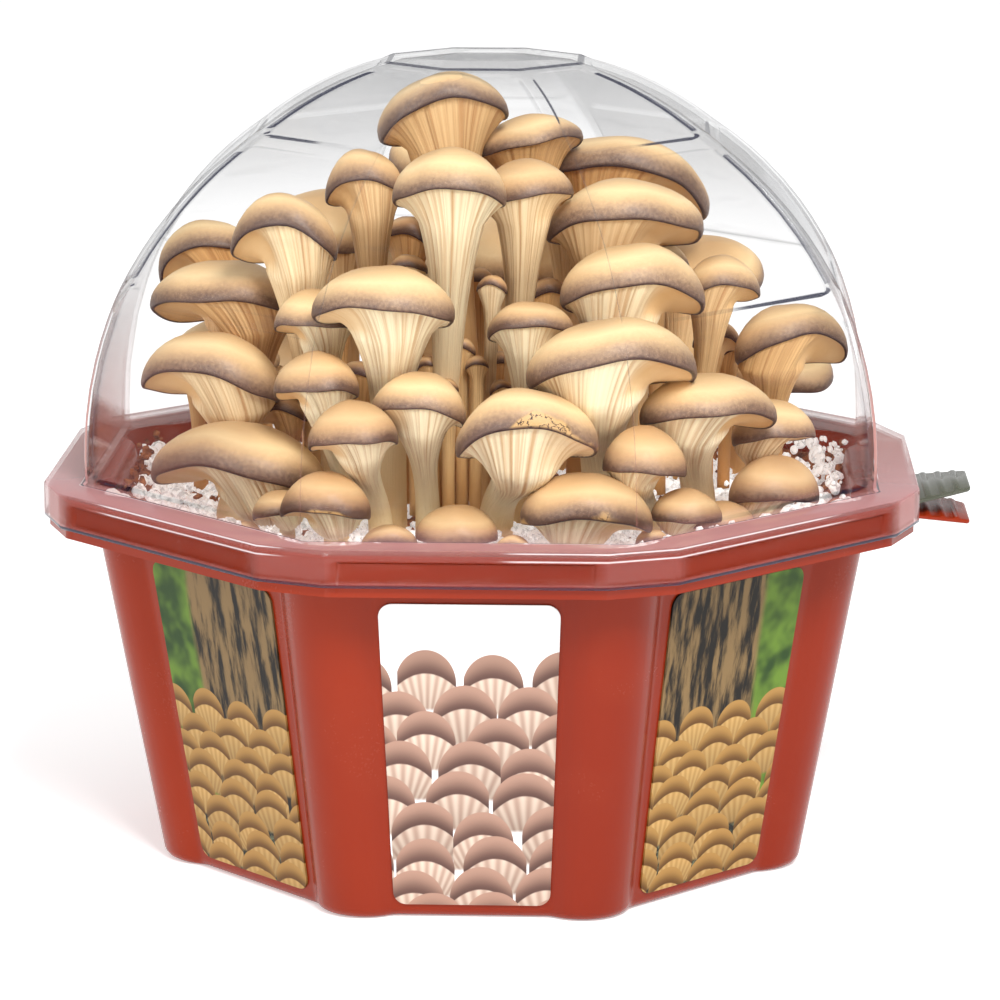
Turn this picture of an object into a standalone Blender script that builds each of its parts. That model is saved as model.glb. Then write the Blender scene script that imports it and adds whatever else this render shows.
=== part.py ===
"""Oyster mushroom grow kit, modelled at its real size.

An eight-sided plastic tub holds a block of perlite and coir. A cluster of oyster mushrooms stands on
it, and a clear faceted dome with a skirt rests on the tub's rim. Three picture labels are stuck on the
tub's front panels. Lengths below are in millimetres; MM turns them into metres. The front is -Y, up is
+Z, and the origin is the middle of the tub's foot, on the surface that the kit stands on.
"""

import math

import bmesh
import bpy
from mathutils import Matrix, Vector

MM = 0.001
GAP = 0.3  # clearance between pieces that touch

# The eight corners, as directions seen from above. 0 degrees is the front, +90 is the right.
FRONT_HALF_ANGLE = 21.3  # from the middle of the front side to its corner
CORNERS = [turn + side * FRONT_HALF_ANGLE for turn in (0, 90, 180, 270) for side in (-1, 1)]
CHAMFER_HALF_ANGLE = 4.4  # each corner of the rim is cut by a short straight side

# Tub
TUB_WALL = 1.3
TUB_FLOOR = 1.6
TUB_RIM_TOP = 88.8
TUB_RIM_EDGE = 79.8  # lowest edge of the rim's skirt
TUB_RIM_HALF_WIDTH = 98.8  # centre to a flat side of the rim
PILLAR_REACH_TOP = 95.0  # centre to the crown of a corner pillar, at the rim
PILLAR_REACH_FOOT = 78.4
PILLAR_ROUND = 12.8  # radius of a pillar's arc, at the rim
PILLAR_OFFSETS = (-7.2, -4.4, -2.2, 0.0, 2.2, 4.4, 7.2)  # degrees each side of a corner
FOOT_ROUND = 2.2

# Lid
LID_SKIRT_EDGE = 82.0
LID_FLANGE_TOP = 90.1
LID_FLANGE = 1.0
LID_HALF_WIDTH = 100.0
LID_SKIRT_WALL = 0.9
LID_EDGE_ROUND = 0.6
DOME_WALL = 1.0
DOME_FOOT = (96.2, 90.1)  # reach of the ribs from the axis, and height
DOME_LOWER_BAND = (88.0, 133.5)
DOME_UPPER_BAND = (57.0, 167.5)
DOME_TOP = (25.0, 183.2)
DOME_TOP_RISE = 0.8
DOME_CURVE = 88.0  # radius of the arc that each tier follows from band to band
BAND_HALF_HEIGHT = 1.3
RIB_HALF_WIDTH = 1.1
RIB_SLOPE = 0.7
RIB_LEAST_SIDE = 1.0  # degrees of panel kept beside a rib's foot
PANEL_INSET = 0.7
INNER_INSET = 0.2  # how far the lid's inner face follows the panels between its ribs

# Finger tabs on the right side, with three grip ridges each
TAB_ROOT_HALF_WIDTH = 15.0
TAB_TIP_HALF_WIDTH = 9.5
TAB_TIP_REACH = 113.0
TAB_THICKNESS = 1.1
TAB_RIDGES = (103.2, 106.6, 110.0)
RIDGE_HEIGHT = 0.7
RIDGE_FOOT = 0.9  # half width of a ridge where it meets the tab
RIDGE_CREST = 0.4  # and on top
LID_TAB_ROOT_HEIGHT = 83.2
LID_TAB_TIP_HEIGHT = 85.4
TUB_TAB_ROOT_HEIGHT = 80.2
TUB_TAB_TIP_HEIGHT = 77.6

# Labels
# Each label: the way it faces, and its half width at the top and at the foot.
LABELS = {
    "label_front": (0, 19.8, 17.5),
    "label_left": (-45, 20.8, 18.8),
    "label_right": (45, 20.8, 18.8),
}
LABEL_TOP = 75.0
LABEL_FOOT = 3.2
LABEL_THICKNESS = 0.2
LABEL_CORNER = 3.0

# Growing block
SOIL_TOP = 81.0  # flat middle, which the cluster stands on
SOIL_BANK = 86.0  # bank of grains along the wall
SOIL_EDGE_DROP = 1.6
SOIL_LUMP = 1.6
SOIL_CLEARANCE = 0.42  # from the tub's wall
SOIL_CHAMFER_SHARE = 0.965  # width of the chamfered foot and of the bank's crest
SOIL_FLAT_SHARE = 0.90  # width of the flat middle
SOIL_OFFSETS = (-7.2, -3.0, 3.0, 7.2)

# Mushrooms, one row each: middle of the cap's margin (x, y, z), half width, rise of the cap, where the
# stem stands (x, y), roll in degrees (plus lifts the right end), the way the gills face (0 = front), and
# how many degrees the cap leans back from that way, so that its gills show.
MUSHROOMS = [
    ((-9.5, -15, 172.5), 15.5, 8, (-3.5, -6), 14, -2, 24),
    ((10, -4.5, 165.5), 13, 5, (7, 3), 12, 3, 24),
    ((-26.5, -22, 156), 9.4, 9, (-25.5, -10), 8, -9, 24),
    ((-6, -44.5, 159), 13, 9.5, (-8.5, -28), 0, -2, 24),
    ((10.5, -32, 157), 10.8, 7.5, (6.5, -16), 10, 5, 24),
    ((32.5, 10, 154), 20.5, 8.5, (29.5, 12), -14, 11, 24),
    ((32.5, -20, 149), 18.5, 8.5, (23.5, -10), -2, 11, 24),
    ((40.5, -6.5, 137), 7, 5, (40.5, 1.5), 0, 15, 24),
    ((34.5, -39.5, 136), 16.5, 10, (32, -21.5), -3, 12, 24),
    ((55, -19, 133.5), 9, 7.5, (48.5, -11), -5, 20, 24),
    ((71, -8.5, 118), 13.7, 9.5, (66, 0), -3, 25, 24),
    ((30, -58, 123), 19.5, 9, (28.5, -34), 2, 11, 24),
    ((12, -47, 129), 10, 5.5, (10, -29.5), 0, 4, 24),
    ((51.5, -48, 111), 16, 7.5, (50, -30), -2, 18, 22),
    ((66.5, -32, 103), 10.1, 7, (67, -17.5), 0, 24, 20),
    ((11.9, -69.8, 108.5), 16, 10, (4, -43), 0, 5, 22),
    ((-12, -63, 113.5), 10.7, 8, (-11, -45), -4, -4, 24),
    ((-26, -70.5, 109), 10.1, 7.5, (-21.5, -47.5), 6, -9, 20),
    ((-35, -57.5, 117.5), 9.8, 7.5, (-29.5, -37.5), 4, -12, 24),
    ((-20, -57.5, 135.7), 16.1, 8, (-20.5, -38.5), 0, -7, 24),
    ((-36.5, -43, 129.5), 9.4, 7, (-34, -27), 2, -13, 24),
    ((-44, -32, 145), 12.7, 10.5, (-37.5, -17.5), 4, -15, 24),
    ((-66, 8, 135), 12.5, 8.5, (-62.5, 13), 24, -24, 24),
    ((-59.5, -12.7, 129.3), 18, 8, (-56, 0.8), 4, -21, 24),
    ((-70, -3.5, 114), 7, 4.5, (-67.5, 3), 8, -24, 24),
    ((-61, -29.1, 113.5), 17, 10, (-57.5, -10.7), 0, -21, 22),
    ((-53.7, -43.4, 95.9), 20.5, 9.5, (-55.5, -28.5), 0, -20, 16),
    ((-32, -70.5, 93), 10.4, 7.5, (-31, -54), 0, -11, 10),
    ((-43.1, -60.2, 89.9), 6.6, 4.4, (-42.5, -49), 10, -15, 5),
    ((-3.5, -66.5, 87.5), 9.4, 5, (-3, -52), 0, -1, 6),
    ((25, -68.5, 92), 15, 8, (21, -53), -4, 9, 10),
    ((37.7, -62.8, 101.9), 9.6, 8, (39, -41), -6, 13, 14),
    ((47, -59, 90), 8.2, 5.2, (47.5, -48), -4, 16, 6),
    ((66.7, -40, 90.6), 10.7, 8, (66, -26.5), -4, 23, 8),
    ((55, -48.8, 86.6), 7.4, 3.6, (55.5, -43), 0, 20, 4),
    ((-40, 30, 140), 14, 7.5, (-34, 22), 0, 200, 24),
    ((-10, 24, 158), 14, 7.5, (-8.5, 17), 5, 185, 24),
    ((22, 38, 146), 14, 7.5, (19, 28), -4, 169, 24),
    ((52, 28, 130), 14, 7.5, (43, 20), 0, 156, 24),
    ((-64, 32, 108), 14, 7.5, (-55, 27), 3, 211, 18),
    ((-30, 55, 124), 16, 8.5, (-25, 40), -3, 194, 24),
    ((6, 60, 129), 16, 8.5, (5, 44), 3, 177, 24),
    ((40, 57, 113), 15, 8, (33, 42), 0, 161, 22),
    ((70, 31, 106), 13, 7, (59, 23), 4, 147, 18),
    ((-50.5, 53.5, 102), 14, 7.5, (-43, 40), 0, 204, 18),
    ((-12, 70, 104), 16, 8.5, (-10, 51), -4, 186, 20),
    ((24, 72, 98), 14, 7, (20, 54), 3, 169, 14),
    ((3, -36, 136), 3.6, 3, (1, -22), -6, 0, 15),
    ((-16, -33, 140), 4.6, 3, (-15, -24), 0, -5, 15),
]
CAP_DEPTH = 0.8  # front-to-back size over left-to-right size
CAP_DROOP = 0.16  # how far the left and right ends hang, over the half width
STEM_LEAST_RADIUS = 1.5
STEM_TOP_BELOW = 0.10  # stem's start below the cap's middle, over the half width
STEM_TOP_BEHIND = 0.12  # and behind it, over the cap's front-to-back size
STEM_TOP_ASIDE = 0.8  # and towards the cluster's middle, over the half width, for a cap that faces sideways
# Rings of a mushroom below the cap: place along the stem's curve (0 = cap, 1 = foot), radius over the
# cap's half width.
STEM_RINGS = ((1.0, 0.28), (0.62, 0.25), (0.30, 0.34), (0.08, 0.56))
# Rings of the cap: radius over the half width, height over the half width, height over the rise.
CAP_RINGS = ((0.92, -0.07, 0.0), (1.0, 0.06, 0.0), (0.74, 0.0, 0.68))
LARGE_CAP = 12.0
SIDES_LARGE = 9
SIDES_SMALL = 7


def clear_scene():
    for obj in list(bpy.data.objects):
        bpy.data.objects.remove(obj, do_unlink=True)


def material(name, colour, roughness, transmission=0.0):
    """A plain Principled finish; colour is linear RGB."""
    made = bpy.data.materials.new(name)
    made.use_nodes = True
    shader = made.node_tree.nodes["Principled BSDF"]
    shader.inputs["Base Color"].default_value = (*colour, 1.0)
    shader.inputs["Roughness"].default_value = roughness
    shader.inputs["Metallic"].default_value = 0.0
    shader.inputs["Transmission Weight"].default_value = transmission
    return made


def add_solid(name, mesh_builder, finish, smooth_angle=35.0):
    """Makes an object of a bmesh built in millimetres."""
    bmesh.ops.recalc_face_normals(mesh_builder, faces=mesh_builder.faces)
    bmesh.ops.scale(mesh_builder, vec=(MM, MM, MM), verts=mesh_builder.verts)
    mesh = bpy.data.meshes.new(name)
    mesh_builder.to_mesh(mesh)
    mesh_builder.free()
    mesh.shade_smooth()
    mesh.set_sharp_from_angle(angle=math.radians(smooth_angle))
    mesh.materials.append(finish)
    solid = bpy.data.objects.new(name, mesh)
    bpy.context.scene.collection.objects.link(solid)
    return solid


def loft(rings, close_first=True, close_last=True):
    """A skin over rings that all have the same number of points, each end closed by one face."""
    skin = bmesh.new()
    rows = [[skin.verts.new(point) for point in ring] for ring in rings]
    for lower, upper in zip(rows, rows[1:]):
        count = len(lower)
        for i in range(count):
            j = (i + 1) % count
            skin.faces.new((lower[i], lower[j], upper[j], upper[i]))
    if close_first:
        skin.faces.new(rows[0])
    if close_last:
        skin.faces.new(rows[-1])
    return skin


def at_direction(degrees, reach, height):
    """The point at this distance from the axis, in this direction seen from above."""
    turn = math.radians(degrees)
    return Vector((reach * math.sin(turn), -reach * math.cos(turn), height))


def straight_side_reach(direction, vertices):
    """Distance from the axis to a polygon's side. vertices are (degrees, reach), in turning order."""
    count = len(vertices)
    for i in range(count):
        start, start_reach = vertices[i]
        span = (vertices[(i + 1) % count][0] - start) % 360
        along = (direction - start) % 360
        if along <= span:
            end_reach = vertices[(i + 1) % count][1]
            share = math.sin(math.radians(along)) / end_reach
            rest = math.sin(math.radians(span - along)) / start_reach
            return math.sin(math.radians(span)) / (share + rest)
    raise ValueError(direction)


def rim_vertices(half_width):
    """The sixteen corners of the rim: eight long sides with a short one between each two."""
    reach = half_width / math.cos(math.radians(FRONT_HALF_ANGLE - CHAMFER_HALF_ANGLE))
    return [(corner + side * CHAMFER_HALF_ANGLE, reach) for corner in CORNERS for side in (-1, 1)]


def rim_ring(half_width, height, directions):
    vertices = rim_vertices(half_width)
    return [at_direction(d, straight_side_reach(d, vertices), height) for d in directions]


# Tub ------------------------------------------------------------------------------------------


def tub_directions():
    return [corner + offset for corner in CORNERS for offset in PILLAR_OFFSETS]


def pillar_reach(offset, crown):
    """Distance from the axis to a pillar's arc, at this many degrees off its crown."""
    scale = crown / PILLAR_REACH_TOP
    middle = (PILLAR_REACH_TOP - PILLAR_ROUND) * scale
    aside = middle * math.sin(math.radians(offset))
    return middle * math.cos(math.radians(offset)) + math.sqrt((PILLAR_ROUND * scale) ** 2 - aside**2)


def body_ring(crown, height, offsets=PILLAR_OFFSETS):
    return [at_direction(c + o, pillar_reach(o, crown), height) for c in CORNERS for o in offsets]


def crown_at(height):
    """Reach of the pillars at this height; the tub's sides taper evenly."""
    return PILLAR_REACH_FOOT + (PILLAR_REACH_TOP - PILLAR_REACH_FOOT) * height / TUB_RIM_TOP


def panel_distance(height, side):
    """Distance from the axis to the flat panel that faces this way."""
    half = FRONT_HALF_ANGLE if side % 90 == 0 else 45.0 - FRONT_HALF_ANGLE
    edge = PILLAR_OFFSETS[-1]
    return pillar_reach(edge, crown_at(height)) * math.cos(math.radians(half - edge))


def make_tub(finish):
    ways = tub_directions()
    under_rim = TUB_RIM_TOP - TUB_WALL
    inside = TUB_RIM_HALF_WIDTH - TUB_WALL
    rings = [
        body_ring(crown_at(0) - FOOT_ROUND, 0.0),
        body_ring(crown_at(0) - 0.25 * FOOT_ROUND, 0.35 * FOOT_ROUND),
        body_ring(crown_at(FOOT_ROUND), FOOT_ROUND),
        body_ring(crown_at(under_rim), under_rim),
        rim_ring(inside, under_rim, ways),
        rim_ring(inside, TUB_RIM_EDGE, ways),
        rim_ring(TUB_RIM_HALF_WIDTH, TUB_RIM_EDGE, ways),
        rim_ring(TUB_RIM_HALF_WIDTH, TUB_RIM_TOP, ways),
        body_ring(crown_at(TUB_RIM_TOP) - TUB_WALL, TUB_RIM_TOP),
        body_ring(crown_at(TUB_FLOOR + FOOT_ROUND) - TUB_WALL, TUB_FLOOR + FOOT_ROUND),
        body_ring(crown_at(TUB_FLOOR) - TUB_WALL - FOOT_ROUND, TUB_FLOOR),
    ]
    tub = add_solid("tub", loft(rings), finish)
    wall_middle = TUB_RIM_HALF_WIDTH - 0.5 * TUB_WALL
    add_tab(tub, wall_middle, TUB_TAB_ROOT_HEIGHT, TUB_TAB_TIP_HEIGHT)
    return tub


# Finger tabs ----------------------------------------------------------------------------------


def tab_half_width(reach, root):
    share = (reach - root) / (TAB_TIP_REACH - root)
    return TAB_ROOT_HALF_WIDTH + (TAB_TIP_HALF_WIDTH - TAB_ROOT_HALF_WIDTH) * share


def tab_plate(root, root_height, tip_height):
    """A plate that narrows to its tip, made of slices across it. Its ridges stand on its upper face."""
    slope = (tip_height - root_height) / (TAB_TIP_REACH - root)
    slices = [(root, 0.0)]
    for ridge in TAB_RIDGES:
        slices += [(ridge - RIDGE_FOOT, 0.0), (ridge - RIDGE_CREST, RIDGE_HEIGHT),
                   (ridge + RIDGE_CREST, RIDGE_HEIGHT), (ridge + RIDGE_FOOT, 0.0)]
    slices.append((TAB_TIP_REACH, 0.0))
    rings = []
    for reach, rise in slices:
        middle = root_height + slope * (reach - root)
        low, high = middle - 0.5 * TAB_THICKNESS, middle + 0.5 * TAB_THICKNESS + rise
        half = tab_half_width(reach, root)
        corners = ((-half, low), (half, low), (half, high), (-half, high))
        rings.append([Vector((reach, across, height)) for across, height in corners])
    return loft(rings)


def add_tab(owner, root, root_height, tip_height):
    """Joins a finger tab to the right side of the tub or the lid."""
    form = tab_plate(root, root_height, tip_height)
    plate = add_solid(owner.name + "_tab_form", form, owner.data.materials[0])
    plate.hide_render = True
    plate.display_type = "WIRE"
    union = owner.modifiers.new("tab", "BOOLEAN")
    union.operation = "UNION"
    union.object = plate


# Lid ------------------------------------------------------------------------------------------


def lid_offsets(reach):
    """Degrees each side of a corner: the rib's crown, the foot of its slope and the rim's corner."""
    crown = math.degrees(math.asin(RIB_HALF_WIDTH / reach))
    foot = math.degrees(math.asin((RIB_HALF_WIDTH + RIB_SLOPE) / reach))
    return crown, foot, max(CHAMFER_HALF_ANGLE, foot + RIB_LEAST_SIDE)


def lid_directions(reach):
    crown, foot, edge = lid_offsets(reach)
    return [c + o for c in CORNERS for o in (-edge, -foot, -crown, crown, foot, edge)]


def dome_ring(reach, height, inset):
    """An octagon with a raised rib at each corner; the panels between lie deeper by the inset."""
    vertices = [(corner, reach - inset) for corner in CORNERS]
    crown, foot, edge = lid_offsets(reach)
    ring = []
    for corner in CORNERS:
        for offset in (-edge, -foot, -crown, crown, foot, edge):
            direction = corner + offset
            panel = straight_side_reach(direction, vertices)
            ring.append(at_direction(direction, reach if abs(offset) == crown else panel, height))
    return ring


def arc_point(start, end, share):
    """A point on the bulging arc from start to end, both (reach, height)."""
    a, b = Vector(start), Vector(end)
    chord = b - a
    outward = Vector((chord.y, -chord.x)).normalized()
    depth = DOME_CURVE - math.sqrt(DOME_CURVE**2 - (0.5 * chord.length) ** 2)
    along = a + chord * share
    return along + outward * depth * (1 - (2 * share - 1) ** 2)


def tier_rings(start, end, first, last):
    """Rings of one tier: (reach, height, inset), from just above one band to just below the next."""
    length = (Vector(end) - Vector(start)).length
    low = (BAND_HALF_HEIGHT * first) / length
    high = 1 - (BAND_HALF_HEIGHT * last) / length
    slope = RIB_SLOPE / length
    rings = []
    for share, inset in ((low, 0), (low + slope, PANEL_INSET), (0.5, PANEL_INSET),
                         (high - slope, PANEL_INSET), (high, 0)):
        point = arc_point(start, end, share)
        rings.append((point.x, point.y, inset))
    return rings


def make_lid(finish):
    levels = [DOME_FOOT, DOME_LOWER_BAND, DOME_UPPER_BAND, DOME_TOP]
    ways = lid_directions(DOME_FOOT[0])
    skirt_inside = LID_HALF_WIDTH - LID_SKIRT_WALL
    under = LID_FLANGE_TOP - LID_FLANGE
    outside = [
        rim_ring(LID_HALF_WIDTH, LID_SKIRT_EDGE, ways),
        rim_ring(LID_HALF_WIDTH, LID_FLANGE_TOP - LID_EDGE_ROUND, ways),
        rim_ring(LID_HALF_WIDTH - LID_EDGE_ROUND, LID_FLANGE_TOP, ways),
        dome_ring(DOME_FOOT[0] + RIB_SLOPE, LID_FLANGE_TOP, PANEL_INSET),
    ]
    for number, (start, end) in enumerate(zip(levels, levels[1:])):
        first = 0.5 if number == 0 else 1.0
        outside += [dome_ring(*ring) for ring in tier_rings(start, end, first, 1.0)]
    outside.append(dome_ring(DOME_TOP[0] - 1.5, DOME_TOP[1] + DOME_TOP_RISE, 0))
    inside = [dome_ring(DOME_TOP[0] - 2.0, DOME_TOP[1] + DOME_TOP_RISE - DOME_WALL, PANEL_INSET)]
    depth = PANEL_INSET + DOME_WALL
    for start, end in reversed(list(zip(levels, levels[1:]))):
        for share in (0.97, 0.5):
            point = arc_point(start, end, share)
            slope = (Vector(end) - Vector(start)).normalized()
            inward = Vector((-slope.y, slope.x)) * depth
            inside.append(dome_ring(point.x + inward.x, point.y + inward.y, INNER_INSET))
    inside += [
        dome_ring(DOME_FOOT[0] - depth, under, INNER_INSET),
        rim_ring(skirt_inside, under, ways),
        rim_ring(skirt_inside, LID_SKIRT_EDGE, ways),
    ]
    skin = loft(outside + inside, close_first=False, close_last=False)
    close_lid(skin, len(ways), len(outside))
    lid = add_solid("lid", skin, finish)
    wall_middle = LID_HALF_WIDTH - 0.5 * LID_SKIRT_WALL
    add_tab(lid, wall_middle, LID_TAB_ROOT_HEIGHT, LID_TAB_TIP_HEIGHT)
    return lid


def close_lid(skin, count, outside_rings):
    """Turns the skin's walls into one shell: a top outside, one inside and a rim at the skirt's edge."""
    skin.verts.ensure_lookup_table()
    rows = [skin.verts[i:i + count] for i in range(0, len(skin.verts), count)]
    top_outside, top_inside = rows[outside_rings - 1], rows[outside_rings]
    between = [f for f in skin.faces if any(v in top_outside for v in f.verts)
               and any(v in top_inside for v in f.verts)]
    bmesh.ops.delete(skin, geom=between, context="FACES_ONLY")
    for ring in (top_outside, top_inside):
        middle = skin.verts.new(sum((v.co for v in ring), Vector()) / count)
        for i in range(count):
            skin.faces.new((ring[i], ring[(i + 1) % count], middle))
    first, last = rows[0], rows[-1]
    for i in range(count):
        j = (i + 1) % count
        skin.faces.new((first[i], first[j], last[j], last[i]))


# Labels ---------------------------------------------------------------------------------------


def label_outline(half_top, half_foot):
    """Points across and heights round the label's edge, with its corners rounded."""
    corners = [(-half_foot, LABEL_FOOT, 180), (half_foot, LABEL_FOOT, 270),
               (half_top, LABEL_TOP, 0), (-half_top, LABEL_TOP, 90)]
    outline = []
    for across, height, start in corners:
        centre_x = across - math.copysign(LABEL_CORNER, across)
        centre_z = height + (LABEL_CORNER if height == LABEL_FOOT else -LABEL_CORNER)
        for step in range(3):
            turn = math.radians(start + 45 * step)
            outline.append((centre_x + LABEL_CORNER * math.cos(turn),
                            centre_z + LABEL_CORNER * math.sin(turn)))
    return outline


def make_label(name, side, half_top, half_foot, finish):
    turn = Matrix.Rotation(math.radians(side), 3, "Z")
    outline = label_outline(half_top, half_foot)
    rows = []
    for lift in (GAP, GAP + LABEL_THICKNESS):
        rows.append([turn @ Vector((x, -(panel_distance(z, side) + lift), z)) for x, z in outline])
    return add_solid(name, loft(rows), finish)


# Growing block --------------------------------------------------------------------------------


def soil_ring(height, reach_height, share=1.0):
    crown = (crown_at(reach_height) - TUB_WALL - SOIL_CLEARANCE) * share
    return body_ring(crown, height, SOIL_OFFSETS)


def make_soil(finish):
    """Fills the tub; its top is flat under the cluster and rises to a lumpy bank along the wall."""
    foot = TUB_FLOOR + GAP
    shoulder = SOIL_BANK - SOIL_EDGE_DROP
    crest = soil_ring(SOIL_BANK, SOIL_BANK, SOIL_CHAMFER_SHARE)
    for i, point in enumerate(crest):
        point.z += SOIL_LUMP * (0.5 + 0.5 * math.sin(2.1 * i) * math.cos(0.7 * i))
    rings = [
        soil_ring(foot, 0.0, SOIL_CHAMFER_SHARE),
        soil_ring(foot + FOOT_ROUND, 0.0),
        soil_ring(shoulder, shoulder),
        crest,
        soil_ring(SOIL_TOP, SOIL_TOP, SOIL_FLAT_SHARE),
    ]
    return add_solid("growing_block", loft(rings), finish)


# Mushrooms ------------------------------------------------------------------------------------


def cap_axes(roll, facing, lean_back):
    """Across, forward and up of a cap: it leans back from the way it faces, and rolls sideways."""
    forward = at_direction(facing, 1.0, 0.0)
    upward = Vector((0, 0, 1))
    across = upward.cross(forward)
    lean = math.radians(lean_back)
    tilted_up = upward * math.cos(lean) - forward * math.sin(lean)
    tilted_forward = forward * math.cos(lean) + upward * math.sin(lean)
    turn = math.radians(roll)
    return (across * math.cos(turn) + tilted_up * math.sin(turn),
            tilted_forward,
            tilted_up * math.cos(turn) - across * math.sin(turn))


def stem_curve(start, axis, foot):
    """A cubic curve from the cap down to the foot; returns place and direction at a share of it."""
    length = (start - foot).length
    points = (start, start - axis * length * 0.25, foot + Vector((0, 0, length * 0.35)), foot)

    def place(share):
        a, b, c, d = points
        rest = 1 - share
        here = a * rest**3 + b * 3 * share * rest**2 + c * 3 * share**2 * rest + d * share**3
        way = (b - a) * rest**2 + (c - b) * 2 * share * rest + (d - c) * share**2
        return here, way.normalized()

    return place


def stem_aside(half_width, facing):
    """How far the stem meets the cap off its middle, on the side nearer the middle of the cluster."""
    sideways = (facing + 90) % 180 - 90
    return -STEM_TOP_ASIDE * half_width * math.sin(math.radians(sideways))


def mushroom_rings(row, sides):
    """Rings from the foot of the stem to the cap's shoulder, and the point on top."""
    centre, half_width, rise, foot, roll, facing, lean_back = row
    across, forward, upward = cap_axes(roll, facing, lean_back)
    centre = Vector(centre)
    depth = half_width * CAP_DEPTH
    start = centre - upward * STEM_TOP_BELOW * half_width - forward * STEM_TOP_BEHIND * depth
    start += across * stem_aside(half_width, facing)
    place = stem_curve(start, Vector((0, 0, 1)), Vector((*foot, SOIL_TOP + GAP)))
    angles = [2 * math.pi * i / sides for i in range(sides)]
    rings = []
    for share, size in STEM_RINGS:
        here, way = place(share)
        side = (across - way * across.dot(way)).normalized()
        front = side.cross(way).normalized()
        radius = max(size * half_width, STEM_LEAST_RADIUS)
        rings.append([here + side * radius * math.cos(t) - front * radius * math.sin(t) for t in angles])
    for size, lift, share in CAP_RINGS:
        ring = []
        for t in angles:
            x, y = size * math.cos(t), size * math.sin(t)
            height = lift * half_width + share * rise - CAP_DROOP * half_width * x * x
            ring.append(centre + across * half_width * x + forward * depth * y + upward * height)
        rings.append(ring)
    return rings, centre + upward * rise


def make_mushroom(number, row, finish):
    half_width = row[1]
    sides = SIDES_LARGE if half_width >= LARGE_CAP else SIDES_SMALL
    rings, top = mushroom_rings(row, sides)
    skin = loft(rings, close_last=False)
    skin.verts.ensure_lookup_table()
    last = skin.verts[-sides:]
    peak = skin.verts.new(top)
    for i in range(sides):
        skin.faces.new((last[i], last[(i + 1) % sides], peak))
    return add_solid(f"mushroom_{number:02d}", skin, finish, smooth_angle=60.0)


def main():
    clear_scene()
    make_tub(material("red_plastic", (0.42, 0.045, 0.022), 0.25))
    make_lid(material("clear_plastic", (0.90, 0.91, 0.92), 0.08, transmission=0.9))
    label_finish = material("printed_label", (0.70, 0.55, 0.40), 0.4)
    for name, (side, half_top, half_foot) in LABELS.items():
        make_label(name, side, half_top, half_foot, label_finish)
    make_soil(material("perlite_and_coir", (0.55, 0.50, 0.44), 0.95))
    flesh = material("mushroom_flesh", (0.60, 0.42, 0.24), 0.55)
    for number, row in enumerate(MUSHROOMS, start=1):
        make_mushroom(number, row, flesh)


main()
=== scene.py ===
# %% [markdown]
# # An oyster mushroom grow kit
#
# A red eight-sided tub holds a bed of white perlite and brown coir, a crowded cluster of oyster
# mushrooms stands on it, and a clear faceted dome closes it. Three picture labels are stuck on the
# front of the tub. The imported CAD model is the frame: each piece here is made finer in the same place
# as its solid and then stands for it. Lengths are in millimetres until a mesh is made.

# %% Load the frame
import math

import bmesh
import bpy
import numpy as np
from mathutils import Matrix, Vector


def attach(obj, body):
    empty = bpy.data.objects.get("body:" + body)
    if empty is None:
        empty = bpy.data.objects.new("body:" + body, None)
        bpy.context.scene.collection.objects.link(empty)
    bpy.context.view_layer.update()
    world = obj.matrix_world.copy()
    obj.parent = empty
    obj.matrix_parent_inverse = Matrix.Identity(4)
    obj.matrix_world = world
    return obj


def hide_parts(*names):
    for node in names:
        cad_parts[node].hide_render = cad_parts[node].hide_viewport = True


MM = 0.001
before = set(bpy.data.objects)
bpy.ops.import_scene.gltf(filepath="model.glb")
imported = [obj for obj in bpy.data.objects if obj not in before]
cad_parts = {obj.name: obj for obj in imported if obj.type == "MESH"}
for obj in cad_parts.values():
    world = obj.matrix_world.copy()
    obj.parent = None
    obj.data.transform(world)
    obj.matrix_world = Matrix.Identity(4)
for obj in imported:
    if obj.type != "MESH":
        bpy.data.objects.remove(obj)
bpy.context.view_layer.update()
print("frame:", len(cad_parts), "solids")

# %% [markdown]
# ## Camera
#
# A long lens from one metre keeps the rim's ellipse as flat as it is there. The small shift only
# centres the frame.

# %% Camera
LOOK_AT = Vector((0.0, 0.0, 82.0)) * MM
DISTANCE = 1.0
ELEVATION = math.radians(12.2)
AZIMUTH = math.radians(2.4)

lens = bpy.data.cameras.new("product_camera")
lens.sensor_width = 36.0
lens.lens = 152.9
lens.shift_x, lens.shift_y = 0.0145, -0.0094
camera = bpy.data.objects.new("product_camera", lens)
bpy.context.scene.collection.objects.link(camera)
backwards = Vector((math.sin(AZIMUTH) * math.cos(ELEVATION), -math.cos(AZIMUTH) * math.cos(ELEVATION),
                    math.sin(ELEVATION)))
camera.location = LOOK_AT + backwards * DISTANCE
camera.rotation_euler = (-backwards).to_track_quat("-Z", "Y").to_euler()
bpy.context.scene.camera = camera
print("camera at", [round(v, 3) for v in camera.location])

# %% [markdown]
# ## Writing a finish as arithmetic
#
# A procedural finish is a small sum of masks and noises. Wiring each Math node by hand hides that sum,
# so `Value` wraps one socket and lets Python's own operators add the nodes. `Finish` is one material:
# its `node` method makes every other kind of node, and its `mix` blends colours, which a Math node
# would turn grey.


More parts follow.
